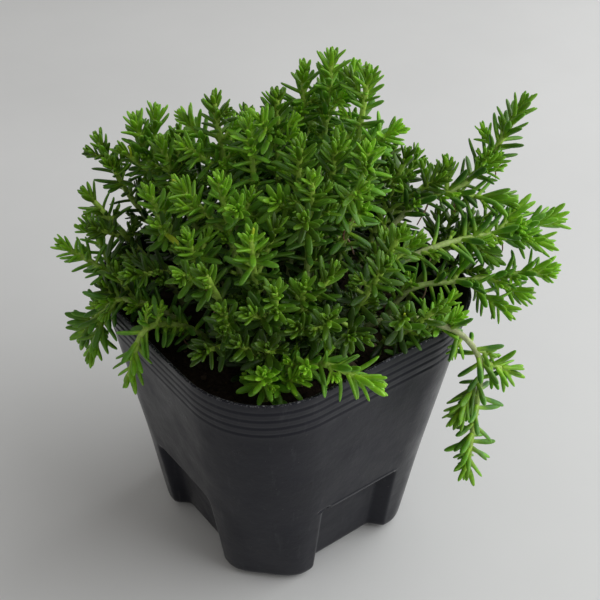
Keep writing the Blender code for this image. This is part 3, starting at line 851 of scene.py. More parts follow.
def places_below(leafy):
    """How far below the tip the leaves sit: close in the bud, and further apart down the stem."""
    below, places = -APEX, []
    while below < leafy:
        places.append(below)
        below += min(WIDEST_GAP, FIRST_GAP + GAP_GROWS * (below + APEX))
    return places


def fine_leaf(shoot, below, turn, spread, length, tone, draw):
    root, way, face = leaf_frame(shoot, below, turn, spread)
    roll = draw.uniform(-ROLL, ROLL)
    face = math.cos(roll) * face + math.sin(roll) * np.cross(way, face)
    rise = draw.uniform(*(YOUNG_RISE if below < YOUNG_BELOW else GROWN_RISE))
    return Blade(root, way, face, length, rise, age_of(below), tone)


def plan_axils(stem, paths, crowd, owner, draw):
    """Small shoots that fork off a stem where they find room, and off a well lit one's sides too."""
    found = []
    light = in_light(stem, paths[0])
    forks = paths if light > LIT_ENOUGH else paths[:1] if light > HARDLY_LIT else []
    for main, below in itertools.product(forks, AXILS):
        if lengths_along(main)[-1] < BUD + below + AXIL_OVER_FOOT:
            continue
        start, along = below_tip(main, BUD + below + draw.uniform(-FORK_STRAY, FORK_STRAY))
        if start[2] < SOIL_TOP + AXIL_OVER_SOIL:
            continue
        for _ in range(AXIL_TRIES):
            path = axil_path(start, along, draw)
            radii = np.full(len(path), AXIL_ROOM)
            clear = crowd.has_room(path[3], path[-1], AXIL_ROOM, NOBODY) and off_pot(path[2:], radii[2:] / 2)
            if clear and in_box(path[-1]):
                found.append(path)
                crowd.add_path(path[2:], radii * AXIL_TAKES, owner)
                break
    return found


def axil_path(start, along, draw):
    """One try at a small shoot that forks off a stem and bends up."""
    turn, size = draw.uniform(0, 2 * math.pi), draw.uniform(AXIL_SHORT, AXIL_LONG)
    out = np.array((math.cos(turn), math.sin(turn), AXIL_RISE))
    outward, onward, upward = AXIL_TIP
    arrive = outward * out + onward * along + (0, 0, upward)
    return hermite(start, along + out, start + size * unit(along + out), arrive, FORK_POINTS)


def plan_roots(paths, crowd, owner, draw):
    """Thin roots that hang from the undersides of the stems, well below their tips."""
    roots = []
    for path, below in itertools.product(paths, ROOTS_BELOW):
        if lengths_along(path)[-1] < BUD + below + ROOT_OVER_FOOT or draw.random() > ROOT_SHARE:
            continue
        root = root_path(path, below, draw)
        end = root[-1]
        if end[2] < SOIL_TOP + ROOT_OVER_SOIL or not in_box(end):
            continue
        if crowd.has_room(root[3], end, ROOT_RADIUS, NOBODY) and fine_off_pot(root[2:]):
            roots.append(root)
            crowd.add(root[2], end, ROOT_RADIUS, owner)
    return roots


def root_path(path, below, draw):
    start, along = below_tip(path, BUD + below + draw.uniform(-FORK_STRAY, FORK_STRAY))
    way = unit((draw.uniform(-ROOT_STRAY, ROOT_STRAY), draw.uniform(-ROOT_STRAY, ROOT_STRAY), -ROOT_DROP))
    end = start + draw.uniform(*ROOT_LONG) * way
    bend = np.array((draw.uniform(-ROOT_BEND, ROOT_BEND), draw.uniform(-ROOT_BEND, ROOT_BEND), 0))
    return hermite(start, way + ROOT_FOLLOWS * along, end, way + bend, FORK_POINTS)


def fine_off_pot(path):
    return off_pot(path, np.full(len(path), FINE_RADIUS))


def in_box(point):
    """Whether a point lies well inside the solids' own box."""
    low, high = np.array(CAD_BOX) / MM
    return bool((turned(point) > low + EDGE_SPARE).all() and (turned(point) < high - EDGE_SPARE).all())


def grow_shoots(stems, crowd):
    """Every stem with its smooth shoots, the leaves that its solid has, and its own random draws."""
    grown = []
    for owner, stem in enumerate(stems):
        draw = random.Random(SCENE_SEED * 1000 + owner)
        paths = [fine_path(shoot) for shoot in stem.shoots]
        blades = []
        for path, face in stem.leaves:
            near = [np.linalg.norm(shoot - path[0], axis=1).min() for shoot in paths]
            blades.append(same_leaf(path, face, paths[int(np.argmin(near))], draw))
        for path in paths:
            crowd.add_path(path, np.full(len(path), SHOOT_TAKES), owner)
        for blade in blades:
            crowd.add(*blade.core(), owner)
        grown.append((stem, paths, blades, draw))
    return grown


def leaves_due(stem, owner, paths, draw):
    """The leaves for which a stem's shoots would like room, each with its place, turn and nature."""
    due = []
    trailing = stem.name in TRAILING
    for number, path in enumerate(paths):
        axil = number >= len(stem.shoots)
        opening = draw.uniform(*(TRAILING_OPEN if trailing else OPEN))
        longer = TRAILING_YOUNG if trailing and not axil else 0.0
        vigour = draw.uniform(*(AXIL_VIGOUR if axil else VIGOUR))
        nature = vigour, shoot_tone(stem, path, draw), opening, longer
        light = in_light(stem, path)
        full = SHADED_KEEP + (1 - SHADED_KEEP) * light
        most = AXIL_LEAFY if axil else LEAFY
        most = min(most, LEAFY * (SHADED_LEAFY + (1 - SHADED_LEAFY) * light))
        turn = draw.uniform(0, 2 * math.pi)
        for below in places_below(min(lengths_along(path)[-1] - BUD - BARE_FOOT, most)):
            turn += GOLDEN
            keep = 1 - THINNED * share_of(below, THIN_FROM, THIN_TO)
            if draw.random() < keep * (full if below > BUD_LEAVES else 1):
                due.append((below, owner, number, turn, nature))
    return due


def plan_fine(stems):
    """Every stem's smooth shoots and all its leaves: the solids' own first, then the youngest first."""
    crowd = Crowd()
    grown = grow_shoots(stems, crowd)
    for owner, (stem, paths, _, draw) in enumerate(grown):
        stem.roots = plan_roots(paths, crowd, owner, draw)
        paths += plan_axils(stem, paths, crowd, owner, draw)
    waiting = []
    for owner, (stem, paths, _, draw) in enumerate(grown):
        waiting += leaves_due(stem, owner, paths, draw)
    for below, owner, number, turn, nature in sorted(waiting):
        _, paths, blades, draw = grown[owner]
        blade = place_leaf(paths[number], below, turn, nature, crowd, owner, draw)
        if blade:
            blades.append(blade)
            crowd.add(*blade.core(), owner)
    for stem, _, blades, _ in grown:
        for blade in blades:
            paint_deep_shade(stem, blade)
    return grown


def place_leaf(path, below, turn, nature, crowd, owner, draw):
    """A leaf where it finds room, or none. Those in the bud need no room."""
    vigour, tone, opening, longer = nature
    tone = tone_of(tone, draw)
    length = vigour * leaf_length(below) * draw.uniform(*LONG_STRAY)
    length *= 1 + longer * math.exp(-max(below, 0) / TRAILING_GROWN)
    spread = opening * leaf_spread(below) + draw.uniform(-OPEN_STRAY, OPEN_STRAY)
    for shift, tilt, size in BLADE_TRIES:
        tilted = max(LEAST_SPREAD, spread + tilt)
        blade = fine_leaf(path, below, turn + shift, tilted, size * length, tone, draw)
        start, end, radius = blade.core()
        if not in_box(blade.at(1.0)):
            continue
        if below < BUD_CROWDED:
            return blade
        if crowd.has_room(start, end, radius, owner) and fine_off_pot(np.array([start, end])):
            return blade
    return None


# Meshes

# The places of a stem's materials
LEAF, SHOOT, ROOT = range(3)


class Mass:
    """Gathers the points and faces of one mesh, with each face's material and each point's values."""

    def __init__(self, *names):
        self.points, self.faces, self.looks = [], [], []
        self.count = 0
        self.values = {name: [] for name in names}

    def add(self, points, faces, look=0, **values):
        self.points.append(points)
        self.faces += [tuple(self.count + k for k in face) for face in faces]
        self.looks += [look] * len(faces)
        self.count += len(points)
        for name, held in self.values.items():
            held.append(np.broadcast_to(np.asarray(values.get(name, 0.0), float), len(points)))

    def object(self, name, materials):
        """The finished piece, in metres, with smooth faces."""
        mesh = bpy.data.meshes.new(name)
        mesh.from_pydata((np.concatenate(self.points) * MM).tolist(), [], self.faces)
        mesh.polygons.foreach_set("material_index", self.looks)
        mesh.shade_smooth()
        for title, held in self.values.items():
            mesh.attributes.new(title, "FLOAT", "POINT").data.foreach_set("value", np.concatenate(held))
        for material in materials:
            mesh.materials.append(material)
        mesh.update()
        return shown(name, mesh)


def shown(name, data):
    """A new object in the scene."""
    made = bpy.data.objects.new(name, data)
    bpy.context.scene.collection.objects.link(made)
    return made


def loft_faces(rows, columns, first=0):
    """Quads between neighbouring rows of points that each close on themselves."""
    faces = []
    for row in range(rows - 1):
        for k in range(columns):
            a, b = first + row * columns + k, first + row * columns + (k + 1) % columns
            faces.append((a, b, b + columns, a + columns))
    return faces


def capped_faces(rows, columns):
    """A loft's faces with a fan at each end: the first end's point comes first and the other's comes last."""
    last = 1 + rows * columns
    start = [(0, 1 + (k + 1) % columns, 1 + k) for k in range(columns)]
    base = last - columns
    end = [(base + k, base + (k + 1) % columns, last) for k in range(columns)]
    return start + loft_faces(rows, columns, 1) + end


def blade_mesh(blade, mass, look):
    small = blade.length < SMALL_BLADE
    rings = SMALL_RINGS if small else BLADE_RINGS
    section = BLADE_SECTION
    t = rings[:, 0:1]
    spine = blade.root + blade.length * t * blade.way + blade.rise * blade.length * t**2 * blade.face
    tangent = blade.way + 2 * blade.rise * t * blade.face
    tangent /= np.linalg.norm(tangent, axis=1)[:, None]
    across = unit(np.cross(blade.way, blade.face))
    up = np.cross(across, tangent)
    width = blade_width(blade.length)
    grown = min(1, blade.age / GROWN_AGE)
    wide = width / 2 * ((1 - grown) * rings[:, 1] + grown * rings[:, 2])
    thick = width / BLADE_WIDTH * BLADE_THICK * rings[:, 3]
    body = spine[:, None] + wide[:, None, None] * section[:, 0][None, :, None] * across
    body = body + thick[:, None, None] * section[:, 1][None, :, None] * up[:, None]
    points = np.vstack([blade.root, body.reshape(-1, 3), blade.at(1.0)])
    along = np.r_[0, np.repeat(rings[:, 0], len(section)), 1]
    margin = np.tile(np.abs(section[:, 0]) ** 3 * (section[:, 1] > 0), len(rings))
    mass.add(
        turned(points.T).T,
        capped_faces(len(rings), len(section)),
        look,
        along=along,
        margin=np.r_[0, margin, 0.6],
        age=blade.age,
        tone=blade.tone,
    )


def tube_points(path, radii, sides):
    """Rings of points round a path, with a point at each end."""
    legs = np.diff(path, axis=0)
    tangents = np.vstack([legs[:1], legs[1:] + legs[:-1], legs[-1:]])
    tangents /= np.linalg.norm(tangents, axis=1)[:, None]
    side = unit(np.cross(tangents[0], (0.31, 0.95, 0.1)))
    rings = []
    for point, tangent, radius in zip(path, tangents, radii):
        side = unit(side - np.dot(side, tangent) * tangent)
        other = np.cross(tangent, side)
        for k in range(sides):
            way = 2 * math.pi * k / sides
            rings.append(point + radius * (math.cos(way) * side + math.sin(way) * other))
    return np.vstack([path[0], rings, path[-1]])


def add_tube(mass, path, radii, sides, look, **values):
    points = tube_points(path, radii, sides)
    mass.add(turned(points.T).T, capped_faces(len(path), sides), look, **values)


def stem_mesh(path, thick, mass, look, draw):
    """A stem's tube: it swells a little where leaves have been and thins to its tip."""
    along = lengths_along(path)
    tip = along[-1] - BUD + PAST_TIP
    path = np.vstack([path[along < tip - 0.5], below_tip(path, BUD - PAST_TIP)[0]])
    along = lengths_along(path)
    share = along / along[-1]
    radii = thick * (1 - STEM_THINS * share**1.5)
    phase = draw.uniform(0, 6)
    close, wide = SWELLINGS
    swelling = close[0] * np.sin(close[1] * along + phase)
    radii = radii * (1 + swelling + wide[0] * np.sin(wide[1] * along))
    radii[-1] *= 0.5
    below = np.repeat(along[-1] - along, TUBE_SIDES)
    age = np.clip(np.r_[below[0], below, 0] / STEM_AGED, 0, 1)
    add_tube(mass, path, radii, TUBE_SIDES, look, age=age, tone=draw.random())


def make_stems(grown, materials):
    """Every stem with its shoots, roots and leaves as one piece, whose looks go by LEAF, SHOOT and ROOT."""
    for stem, paths, blades, draw in grown:
        mass = Mass("along", "margin", "age", "tone")
        for number, path in enumerate(paths):
            thick = STEM_RADIUS if number == 0 else SIDE_RADIUS
            thick = AXIL_RADIUS if number >= len(stem.shoots) else thick
            stem_mesh(path, TUBE_SHARE * thick, mass, SHOOT, draw)
        for root in stem.roots:
            radii = ROOT_RADIUS * np.linspace(1.0, ROOT_ENDS, len(root))
            add_tube(mass, root, radii, ROOT_SIDES, ROOT, tone=draw.random())
        for blade in blades:
            blade_mesh(blade, mass, LEAF)
        piece = mass.object("leafy_" + stem.name, materials)
        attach(piece, "root")
        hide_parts("stem_" + stem.name)


# The pot

# How wide the slopes are at a panel's sides and at its top, how far past its edges they start, and the share
# of a slope that is rounded at each end: crisp on two faces, soft on the other two
CRISP = (4.4, 1.2, 0.9, 0.3, 0.2)
SOFT = (5.5, 4.5, 1.8, 2.0, 0.5)
FOOT_SIDE = 4.0
# The feet have flat fronts with rounded ends, which fade into the round corners above
FOOT_ROUND = 3.5
FOOT_FADE = 38.0
# A thin bead along a crisp panel's upper edge
BEAD_HIGH = 0.26
BEAD_WIDE = 0.5
# A small nick where the front panel's mould closed
NICK = (12.7, 31.1)
NICK_SIZE = (1.5, 0.45, 1.6)
RIM_ROUND = 0.14
RIM_PALE = 0.35
# How far the wall, the rim and its burr stray, and how long their waves are
WALL_WAVE = 0.4
WALL_LONG = 26.0
WALL_HIGH = 60.0
RIM_WAVE = 0.35
RIM_LONG = 17.0
RIM_BURR = 0.3
BURR_LONG = 0.9
RIM_BAND = 3.0
RIB_DEEP = 0.15
RIB_SLOPE = 2.2
RIB_LEDGE = 0.42
RIB_LIP = 0.06
RIB_ROWS = (2.0, 1.4, 0.95, 0.65, 0.42, 0.14, -0.14, -0.42, -0.72)
# The heights of the rows of points down the inside of the wall, close together over the panels' edges
INNER_ROWS = (
    *(POT_HEIGHT - RIM_ROUND, 84.0, 82.0, 79.0, 76.0, 73.0, 70.0, 60.0, 50.0, 40.0),
    *np.arange(PANEL_HEIGHT + 4.0, PANEL_HEIGHT - 2.0, -0.6),
    *(24.0, 16.0, 8.0, 4.5, 2.5, FLOOR),
)
# The share of the outside's rounding that the inside's bottom edge has
INNER_ROUND = 0.8


def face_columns():
    """Places across one face, from corner to corner, close together by the panel's edges."""
    right = np.r_[np.linspace(0, 0.30, 5)[:-1], np.linspace(0.30, 0.60, 20), np.linspace(0.60, 1, 12)[1:]]
    return np.r_[-right[:0:-1], right][:-1]


COLUMNS = face_columns()


def smooth(value):
    value = np.clip(value, 0, 1)
    return value * value * (3 - 2 * value)


def rounding(height, radius):
    """How far a rounded bottom edge is drawn in at a height."""
    drop = max(0, 1 - height / radius)
    return radius * (1 - math.sqrt(1 - drop * drop))


def eased(value, ease):
    """A straight ramp from 0 to 1 whose two ends are rounded over a share of it."""
    value = np.clip(value, 0, 1)
    start = np.where(value < ease, value**2 / (2 * ease), value - ease / 2)
    end = 1 - ease - (1 - value) ** 2 / (2 * ease)
    return np.where(value > 1 - ease, end, start) / (1 - ease)


def recess(x, height, grow, slopes):
    """How much of a panel's full depth a face has at each place across it."""
    side_slope, top_slope, past_side, past_top, ease = slopes
    half = PANEL_HALF + past_side + grow + rounding(height, FOOT_SIDE)
    sides = eased((half - np.abs(x)) / side_slope, ease)
    return sides * eased((PANEL_HEIGHT + past_top + grow - height) / top_slope, ease)


def flat_fronted(x, wall, half, corner, height):
    """The wall with its round corners turned, low down, into feet whose fronts are flat."""
    line = 2 * (half - corner) + corner * math.sqrt(2) - np.abs(x)
    share = np.clip(0.5 + 0.5 * (line - half) / FOOT_ROUND, 0, 1)
    foot = line + (half - line) * share - FOOT_ROUND * share * (1 - share)
    return wall + (foot - wall) * (1 - smooth(height / FOOT_FADE))


def bead(x, height):
    """The bead over a crisp panel's upper edge."""
    off = (height - PANEL_HEIGHT - 0.6) / BEAD_WIDE
    return BEAD_HIGH * math.exp(-off * off) * smooth((PANEL_HALF - np.abs(x)) / 3 + 0.5)


def outline(height, inset, panel_grow=0.0):
    """The pot's outline at a height, drawn in by an inset, with its set-back panels."""
    half, corner = wall_half(height) - inset, corner_radius(height) - inset
    straight = half - corner
    x = -COLUMNS * (straight + corner * math.sqrt(0.5))
    over = np.maximum(np.abs(x) - straight, 0)
    wall = straight + np.sqrt(corner**2 - over**2)
    wall = flat_fronted(x, wall, half, corner, height)
    deep = np.maximum(wall - (wall_half(height) - inset - PANEL_DEPTH), 0)
    points = []
    for quarter in range(4):
        y = wall - recess(x, height, panel_grow, CRISP if quarter % 2 else SOFT) * deep
        if quarter % 2 and not panel_grow:
            y = y + bead(x, height)
        if quarter == 3:
            off = ((x - NICK[0]) / NICK_SIZE[0]) ** 2 + ((height - NICK[1]) / NICK_SIZE[1]) ** 2
            y = y - NICK_SIZE[2] * np.exp(-off)
        c, s = round(math.cos(quarter * math.pi / 2)), round(math.sin(quarter * math.pi / 2))
        points.append(np.stack([c * x - s * y, s * x + c * y, np.full(len(x), float(height))], axis=1))
    return np.concatenate(points)


def inner_outline(height, inset):
    """The outline of what lies inside the wall."""
    return outline(height, inset + INNER_ROUND * rounding(height, FOOT_EDGE), inset)


def groove_heights():
    return [POT_HEIGHT - GROOVE_FIRST - k * GROOVE_STEP for k in range(GROOVES)]


def groove(height):
    """How deep the wall is drawn in at a height by the rib lines: a slope down to a small ledge."""
    deep = 0.0
    for line in groove_heights():
        off = height - line
        if off > RIB_LEDGE:
            deep += RIB_DEEP * max(0, 1 - (off - RIB_LEDGE) / (RIB_SLOPE - RIB_LEDGE)) ** 2
        elif off > -RIB_LEDGE:
            deep += (RIB_DEEP + RIB_LIP) * (off + RIB_LEDGE) / (2 * RIB_LEDGE) - RIB_LIP
        else:
            deep -= RIB_LIP * max(0, 1 + (off + RIB_LEDGE) / 0.6)
    return deep


def outer_heights():
    foot = [FOOT_EDGE * (1 - math.sin(math.radians(a))) for a in range(90, -1, -10)]
    low = [4.2] + list(np.arange(5, PANEL_HEIGHT - 2.4, 1.6))
    edge = list(np.arange(PANEL_HEIGHT - 2.0, PANEL_HEIGHT + 3.2, 0.24))
    middle = list(np.arange(PANEL_HEIGHT + 4.4, POT_HEIGHT - 15, 2.5))
    ribs = [line + off for line in reversed(groove_heights()) for off in reversed(RIB_ROWS)]
    return foot + low + edge + middle + ribs + [POT_HEIGHT - 0.9, POT_HEIGHT - 0.5, POT_HEIGHT - RIM_ROUND]


def sway(points):
    """The thin wall isn't quite true: it bows in and out a little, most of all near the rim."""
    out = points.copy()
    for k, (x, y, z) in enumerate(points):
        high = (z / POT_HEIGHT) ** 2
        bow = noise.noise(Vector((x / WALL_LONG, y / WALL_LONG, z / WALL_HIGH))) * WALL_WAVE * (0.25 + high)
        out[k, :2] *= 1 + bow / math.hypot(x, y)
        if z > POT_HEIGHT - RIM_BAND:
            rise = RIM_WAVE * noise.noise(Vector((x / RIM_LONG, y / RIM_LONG, 3)))
            burr = RIM_BURR * noise.noise(Vector((x / BURR_LONG, y / BURR_LONG, 9))) ** 3 * 4
            share = (z - POT_HEIGHT + RIM_BAND) / RIM_BAND
            out[k, 2] += share * rise + share**8 * burr
    return out


def cut_away(piece, cutters):
    """Cuts round holes out of a piece and removes the cutters."""
    for number, cutter in enumerate(cutters):
        cut = piece.modifiers.new(f"hole_{number + 1}", "BOOLEAN")
        cut.object = cutter
        cut.operation = "DIFFERENCE"
    mesh = bpy.data.meshes.new_from_object(piece.evaluated_get(bpy.context.evaluated_depsgraph_get()))
    piece.modifiers.clear()
    piece.data = mesh
    for cutter in cutters:
        bpy.data.objects.remove(cutter, do_unlink=True)


def drain_cutters():
    cutters = []
    for k in range(DRAINS):
        way = math.radians(45 + 360 * k / DRAINS)
        maker = bmesh.new()
        bmesh.ops.create_cone(
            maker,
            cap_ends=True,
            segments=32,
            radius1=DRAIN_RADIUS * MM,
            radius2=DRAIN_RADIUS * MM,
            depth=4 * FLOOR * MM,
        )
        place = (DRAIN_OUT * math.cos(way) * MM, DRAIN_OUT * math.sin(way) * MM, FLOOR * MM / 2)
        bmesh.ops.translate(maker, vec=place, verts=maker.verts)
        mesh = bpy.data.meshes.new(f"drain_{k + 1}")
        maker.to_mesh(mesh)
        maker.free()
        cutters.append(shown(f"drain_{k + 1}", mesh))
    return cutters


def make_pot(plastic):
    rows = [outline(z, rounding(z, FOOT_EDGE) + groove(z)) for z in outer_heights()]
    rows.append(outline(POT_HEIGHT, RIM_ROUND))
    rows.append(outline(POT_HEIGHT, WALL - RIM_ROUND))
    rows += [inner_outline(z, WALL) for z in INNER_ROWS]
    points = sway(np.concatenate(rows))
    points[: len(rows[0]), 2] = 0
    points[-len(rows[0]) :, 2] = FLOOR
    columns = len(rows[0])
    mass = Mass()
    ends = [tuple(range(columns - 1, -1, -1)), tuple(range((len(rows) - 1) * columns, len(rows) * columns))]
    mass.add(points, loft_faces(len(rows), columns) + ends)
    pot = mass.object("nursery_pot", [plastic])
    cut_away(pot, drain_cutters())
    pot.data.set_sharp_from_angle(angle=math.radians(50))
    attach(pot, "root")
    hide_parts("pot")


# The soil

# The heights of the rows of points up its sides
SOIL_ROWS = (FLOOR + GAP, 3.0, 5.0, 10.0, 20.0, 27.0, 28.5, 29.5, 30.5, 31.5, 32.5, 34.0, 45.0, 60.0, 68.0)
SOIL_RINGS = 44
# Its lumps and grains: how high and how far across they are, and how much weaker and finer they go on
SOIL_LUMPS = (1.6, 11.0, 0.9, 2.1)
SOIL_GRAINS = (0.55, 2.4, 0.8, 2.2)
# How much lower than its solid it lies, how much lower still along the wall, and over what width
SOIL_LOWER = 0.5
SOIL_EDGE = 0.9
SOIL_EDGE_WIDE = 4.0
# Crumbs and pebbles: how many, their sizes and how much longer than wide they are
CRUMBS = (420, (0.35, 1.5), 1.0)
PEBBLES = (16, (0.8, 1.9), 1.2)
LUMP_SWELL = 0.45
# How far a lump's middle lies over the soil, as a share of its size
LUMP_OVER = 0.3


def rough(x, y, layer, high, across, weaker, finer):
    """The soil's lumps or grains at a place, in three sizes, each weaker and finer than the last."""
    return noise.fractal(Vector((x / across, y / across, layer)), weaker, finer, 3) * high


def soil_height(x, y):
    edge = inside_outline(x, y, SOIL_TOP) / SOIL_EDGE_WIDE
    lumps, grains = rough(x, y, 5, *SOIL_LUMPS), rough(x, y, 1, *SOIL_GRAINS)
    return SOIL_TOP - SOIL_LOWER + lumps + grains - SOIL_EDGE * math.exp(-max(edge, 0))


def make_soil(earth):
    inset = WALL + GAP
    rows = [inner_outline(z, inset) for z in SOIL_ROWS]
    rim = outline(SOIL_TOP, inset)
    for ring in range(SOIL_RINGS):
        share = 1 - ring / SOIL_RINGS
        row = rim.copy()
        row[:, :2] *= share
        row[:, 2] = [soil_height(x, y) for x, y, _ in row]
        rows.append(row)
    columns = len(rim)
    middle = np.array([(0, 0, soil_height(0, 0))])
    faces = loft_faces(len(rows), columns) + [tuple(range(columns - 1, -1, -1))]
    base = (len(rows) - 1) * columns
    faces += [(base + k, base + (k + 1) % columns, len(rows) * columns) for k in range(columns)]
    mass = Mass()
    mass.add(np.vstack([*rows, middle]), faces)
    soil = mass.object("potting_soil", [earth])
    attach(soil, "root")
    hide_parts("soil")


def lump(points, size, squash, draw):
    """A rough lump from a ball's points."""
    seed = Vector((draw.uniform(0, 90), draw.uniform(0, 90), draw.uniform(0, 90)))
    out = []
    for point in points:
        swell = 1 + LUMP_SWELL * noise.noise(Vector(point) * 1.7 + seed)
        out.append(np.array(point) * swell)
    turn = draw.uniform(0, 2 * math.pi)
    out = np.array(out) * (size * squash[0], size * squash[1], size * squash[2])
    c, s = math.cos(turn), math.sin(turn)
    return np.stack([c * out[:, 0] - s * out[:, 1], s * out[:, 0] + c * out[:, 1], out[:, 2]], axis=1)


def ball():
    maker = bmesh.new()
    bmesh.ops.create_icosphere(maker, subdivisions=2, radius=1)
    points = [tuple(vert.co) for vert in maker.verts]
    faces = [tuple(vert.index for vert in face.verts) for face in maker.faces]
    maker.free()
    return points, faces


def scatter(name, count, sizes, squash, material, seed):
    """Lumps strewn over the soil, each partly sunk into it."""
    draw = random.Random(seed)
    points, faces = ball()
    mass = Mass("tone")
    while mass.count < count * len(points):
        x, y = draw.uniform(-TOP_HALF, TOP_HALF), draw.uniform(-TOP_HALF, TOP_HALF)
        size = sizes[0] + (sizes[1] - sizes[0]) * draw.random() ** 3
        if inside_outline(x, y, SOIL_TOP) < WALL + 1.2 * size + 0.4:
            continue
        z = soil_height(x, y) + LUMP_OVER * size
        shape = [squash * draw.uniform(0.8, 1.25), draw.uniform(0.7, 1.2), draw.uniform(0.5, 0.9)]
        mass.add(lump(points, size, shape, draw) + (x, y, z), faces, tone=draw.random())
    piece = mass.object(name, [material])
    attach(piece, "root")


# Materials


def principled(name, roughness, **settings):
    material = bpy.data.materials.new(name)
    material.use_nodes = True
    shader = material.node_tree.nodes["Principled BSDF"]
    shader.inputs["Roughness"].default_value = roughness
    for title, value in settings.items():
        shader.inputs[title.replace("_", " ")].default_value = value
    return material, material.node_tree, shader


def feed(tree, socket, value):
    """Gives a socket another node's output, a colour or a number."""
    if isinstance(value, bpy.types.NodeSocket):
        tree.links.new(value, socket)
    elif isinstance(value, tuple) and len(value) < len(socket.default_value):
        socket.default_value = (*value, 1)
    else:
        socket.default_value = value


def node(tree, kind, inputs, **settings):
    """A new node with its settings and its inputs, which go by their titles or their numbers."""
    made = tree.nodes.new(kind)
    for title, value in settings.items():
        setattr(made, title, value)
    for title, value in inputs.items():
        feed(tree, made.inputs[title], value)
    return made


def position(tree):
    return tree.nodes.new("ShaderNodeTexCoord").outputs["Object"]


def value_of(tree, name):
    return node(tree, "ShaderNodeAttribute", {}, attribute_name=name).outputs["Fac"]


def speckle(tree, scale, detail=3.0, rough=0.55, where=None):
    inputs = {"Vector": where or position(tree), "Scale": scale, "Detail": detail, "Roughness": rough}
    return node(tree, "ShaderNodeTexNoise", inputs).outputs["Fac"]


def ramp(tree, value, *stops):
    """Colours or greys by a value: each stop is a place and its colour."""
    made = node(tree, "ShaderNodeValToRGB", {"Fac": value})
    while len(made.color_ramp.elements) < len(stops):
        made.color_ramp.elements.new(0.5)
    for element, (at, colour) in zip(made.color_ramp.elements, stops):
        element.position = at
        element.color = (*colour, 1) if isinstance(colour, tuple) else (colour, colour, colour, 1)
    return made.outputs["Color"]


def mix(tree, share, first, second, blend="MIX"):
    inputs = {0: share, 6: first, 7: second}
    return node(tree, "ShaderNodeMix", inputs, data_type="RGBA", blend_type=blend).outputs[2]


def grained(tree, colour, scale, low, high, detail=3.0):
    """A colour made darker and lighter in small grains."""
    grain = ramp(tree, speckle(tree, scale, detail), (0.3, low), (0.7, high))
    return mix(tree, 1.0, colour, grain, "MULTIPLY")


def maths(tree, operation, first, second=0.0):
    return node(tree, "ShaderNodeMath", {0: first, 1: second}, operation=operation).outputs[0]


def bump(tree, shader, height, strength, distance):
    made = node(tree, "ShaderNodeBump", {"Height": height, "Strength": strength, "Distance": distance})
    tree.links.new(made.outputs["Normal"], shader.inputs["Normal"])


YOUNG_GREEN = (0.202, 0.428, 0.012)
GROWN_GREEN = (0.094, 0.264, 0.010)
OLD_GREEN = (0.058, 0.180, 0.018)
PALE_BASE = (0.365, 0.580, 0.040)
PALE_MARGIN = (0.250, 0.460, 0.065)
YELLOWED = (0.430, 0.520, 0.030)
# The pale line over a crisp panel's upper edge, a painted highlight and stretch-whitened plastic: its height,
# its half height and its colour
EDGE_AT = 31.25
EDGE_HALF = 0.42
EDGE_HIGHLIGHT = (0.075, 0.075, 0.080)


def leaf_material():
    material, tree, shader = principled(
        "sedum_leaf",
        0.42,
        Subsurface_Weight=0.25,
        Subsurface_Radius=(0.5, 1.0, 0.2),
        Subsurface_Scale=0.0012,
        Specular_IOR_Level=0.33,
    )
    age, tone = value_of(tree, "age"), value_of(tree, "tone")
    along, margin = value_of(tree, "along"), value_of(tree, "margin")
    green = ramp(tree, age, (0.0, YOUNG_GREEN), (0.35, GROWN_GREEN), (1.0, OLD_GREEN))
    based = mix(tree, ramp(tree, along, (0.05, 0.8), (0.5, 0.0)), green, PALE_BASE)
    edged = mix(tree, maths(tree, "MULTIPLY", margin, 0.42), based, PALE_MARGIN)
    # The tone scales the leaf's colour: random tone from leaf to leaf, with painted shade deep in the clump
    # and on low shoots, and painted light on the lightest stems
    shaded = mix(tree, 1.0, edged, ramp(tree, tone, (0.0, 0.18), (0.8, 1.38)), "MULTIPLY")
    mottled = grained(tree, shaded, 900, 0.85, 1.15)
    yellow = maths(tree, "MULTIPLY", maths(tree, "GREATER_THAN", tone, 1.5), 0.85)
    tree.links.new(mix(tree, yellow, mottled, YELLOWED), shader.inputs["Base Color"])
    sheen = ramp(tree, speckle(tree, 500), (0.3, 0.28), (0.7, 0.46))
    tree.links.new(sheen, shader.inputs["Roughness"])
    bump(tree, shader, speckle(tree, 2600, 2.0), 0.25, 0.0002)
    return material


def stem_material():
    material, tree, shader = principled(
        "sedum_stem",
        0.5,
        Subsurface_Weight=0.2,
        Subsurface_Radius=(0.6, 1.0, 0.3),
        Subsurface_Scale=0.001,
    )
    age = value_of(tree, "age")
    green = ramp(
        tree,
        age,
        (0.0, (0.42, 0.66, 0.080)),
        (0.45, (0.41, 0.60, 0.110)),
        (0.8, (0.42, 0.56, 0.170)),
        (1.0, (0.39, 0.44, 0.200)),
    )
    tree.links.new(grained(tree, green, 700, 0.7, 1.2), shader.inputs["Base Color"])
    bump(tree, shader, speckle(tree, 1500), 0.4, 0.0003)
    return material


def grainy_material(name, roughness, colours, grain, relief, **settings):
    """Roots or lumps, each with a tone of its own, with small grains and perhaps a relief."""
    material, tree, shader = principled(name, roughness, **settings)
    colour = ramp(tree, value_of(tree, "tone"), *colours)
    tree.links.new(grained(tree, colour, *grain), shader.inputs["Base Color"])
    if relief:
        scale, strength, depth = relief
        bump(tree, shader, speckle(tree, scale, 4.0), strength, depth)
    return material


def root_material():
    colours = (0.0, (0.30, 0.13, 0.09)), (1.0, (0.46, 0.30, 0.22))
    return grainy_material("aerial_root", 0.6, colours, (1200, 0.75, 1.15), None)


def crumb_material():
    colours = (0.0, (0.014, 0.010, 0.007)), (0.8, (0.060, 0.040, 0.026)), (1.0, (0.20, 0.15, 0.10))
    grain, relief = (1600, 0.6, 1.3, 4.0), (2000, 0.7, 0.0004)
    return grainy_material("soil_crumb", 0.9, colours, grain, relief, Specular_IOR_Level=0.2)


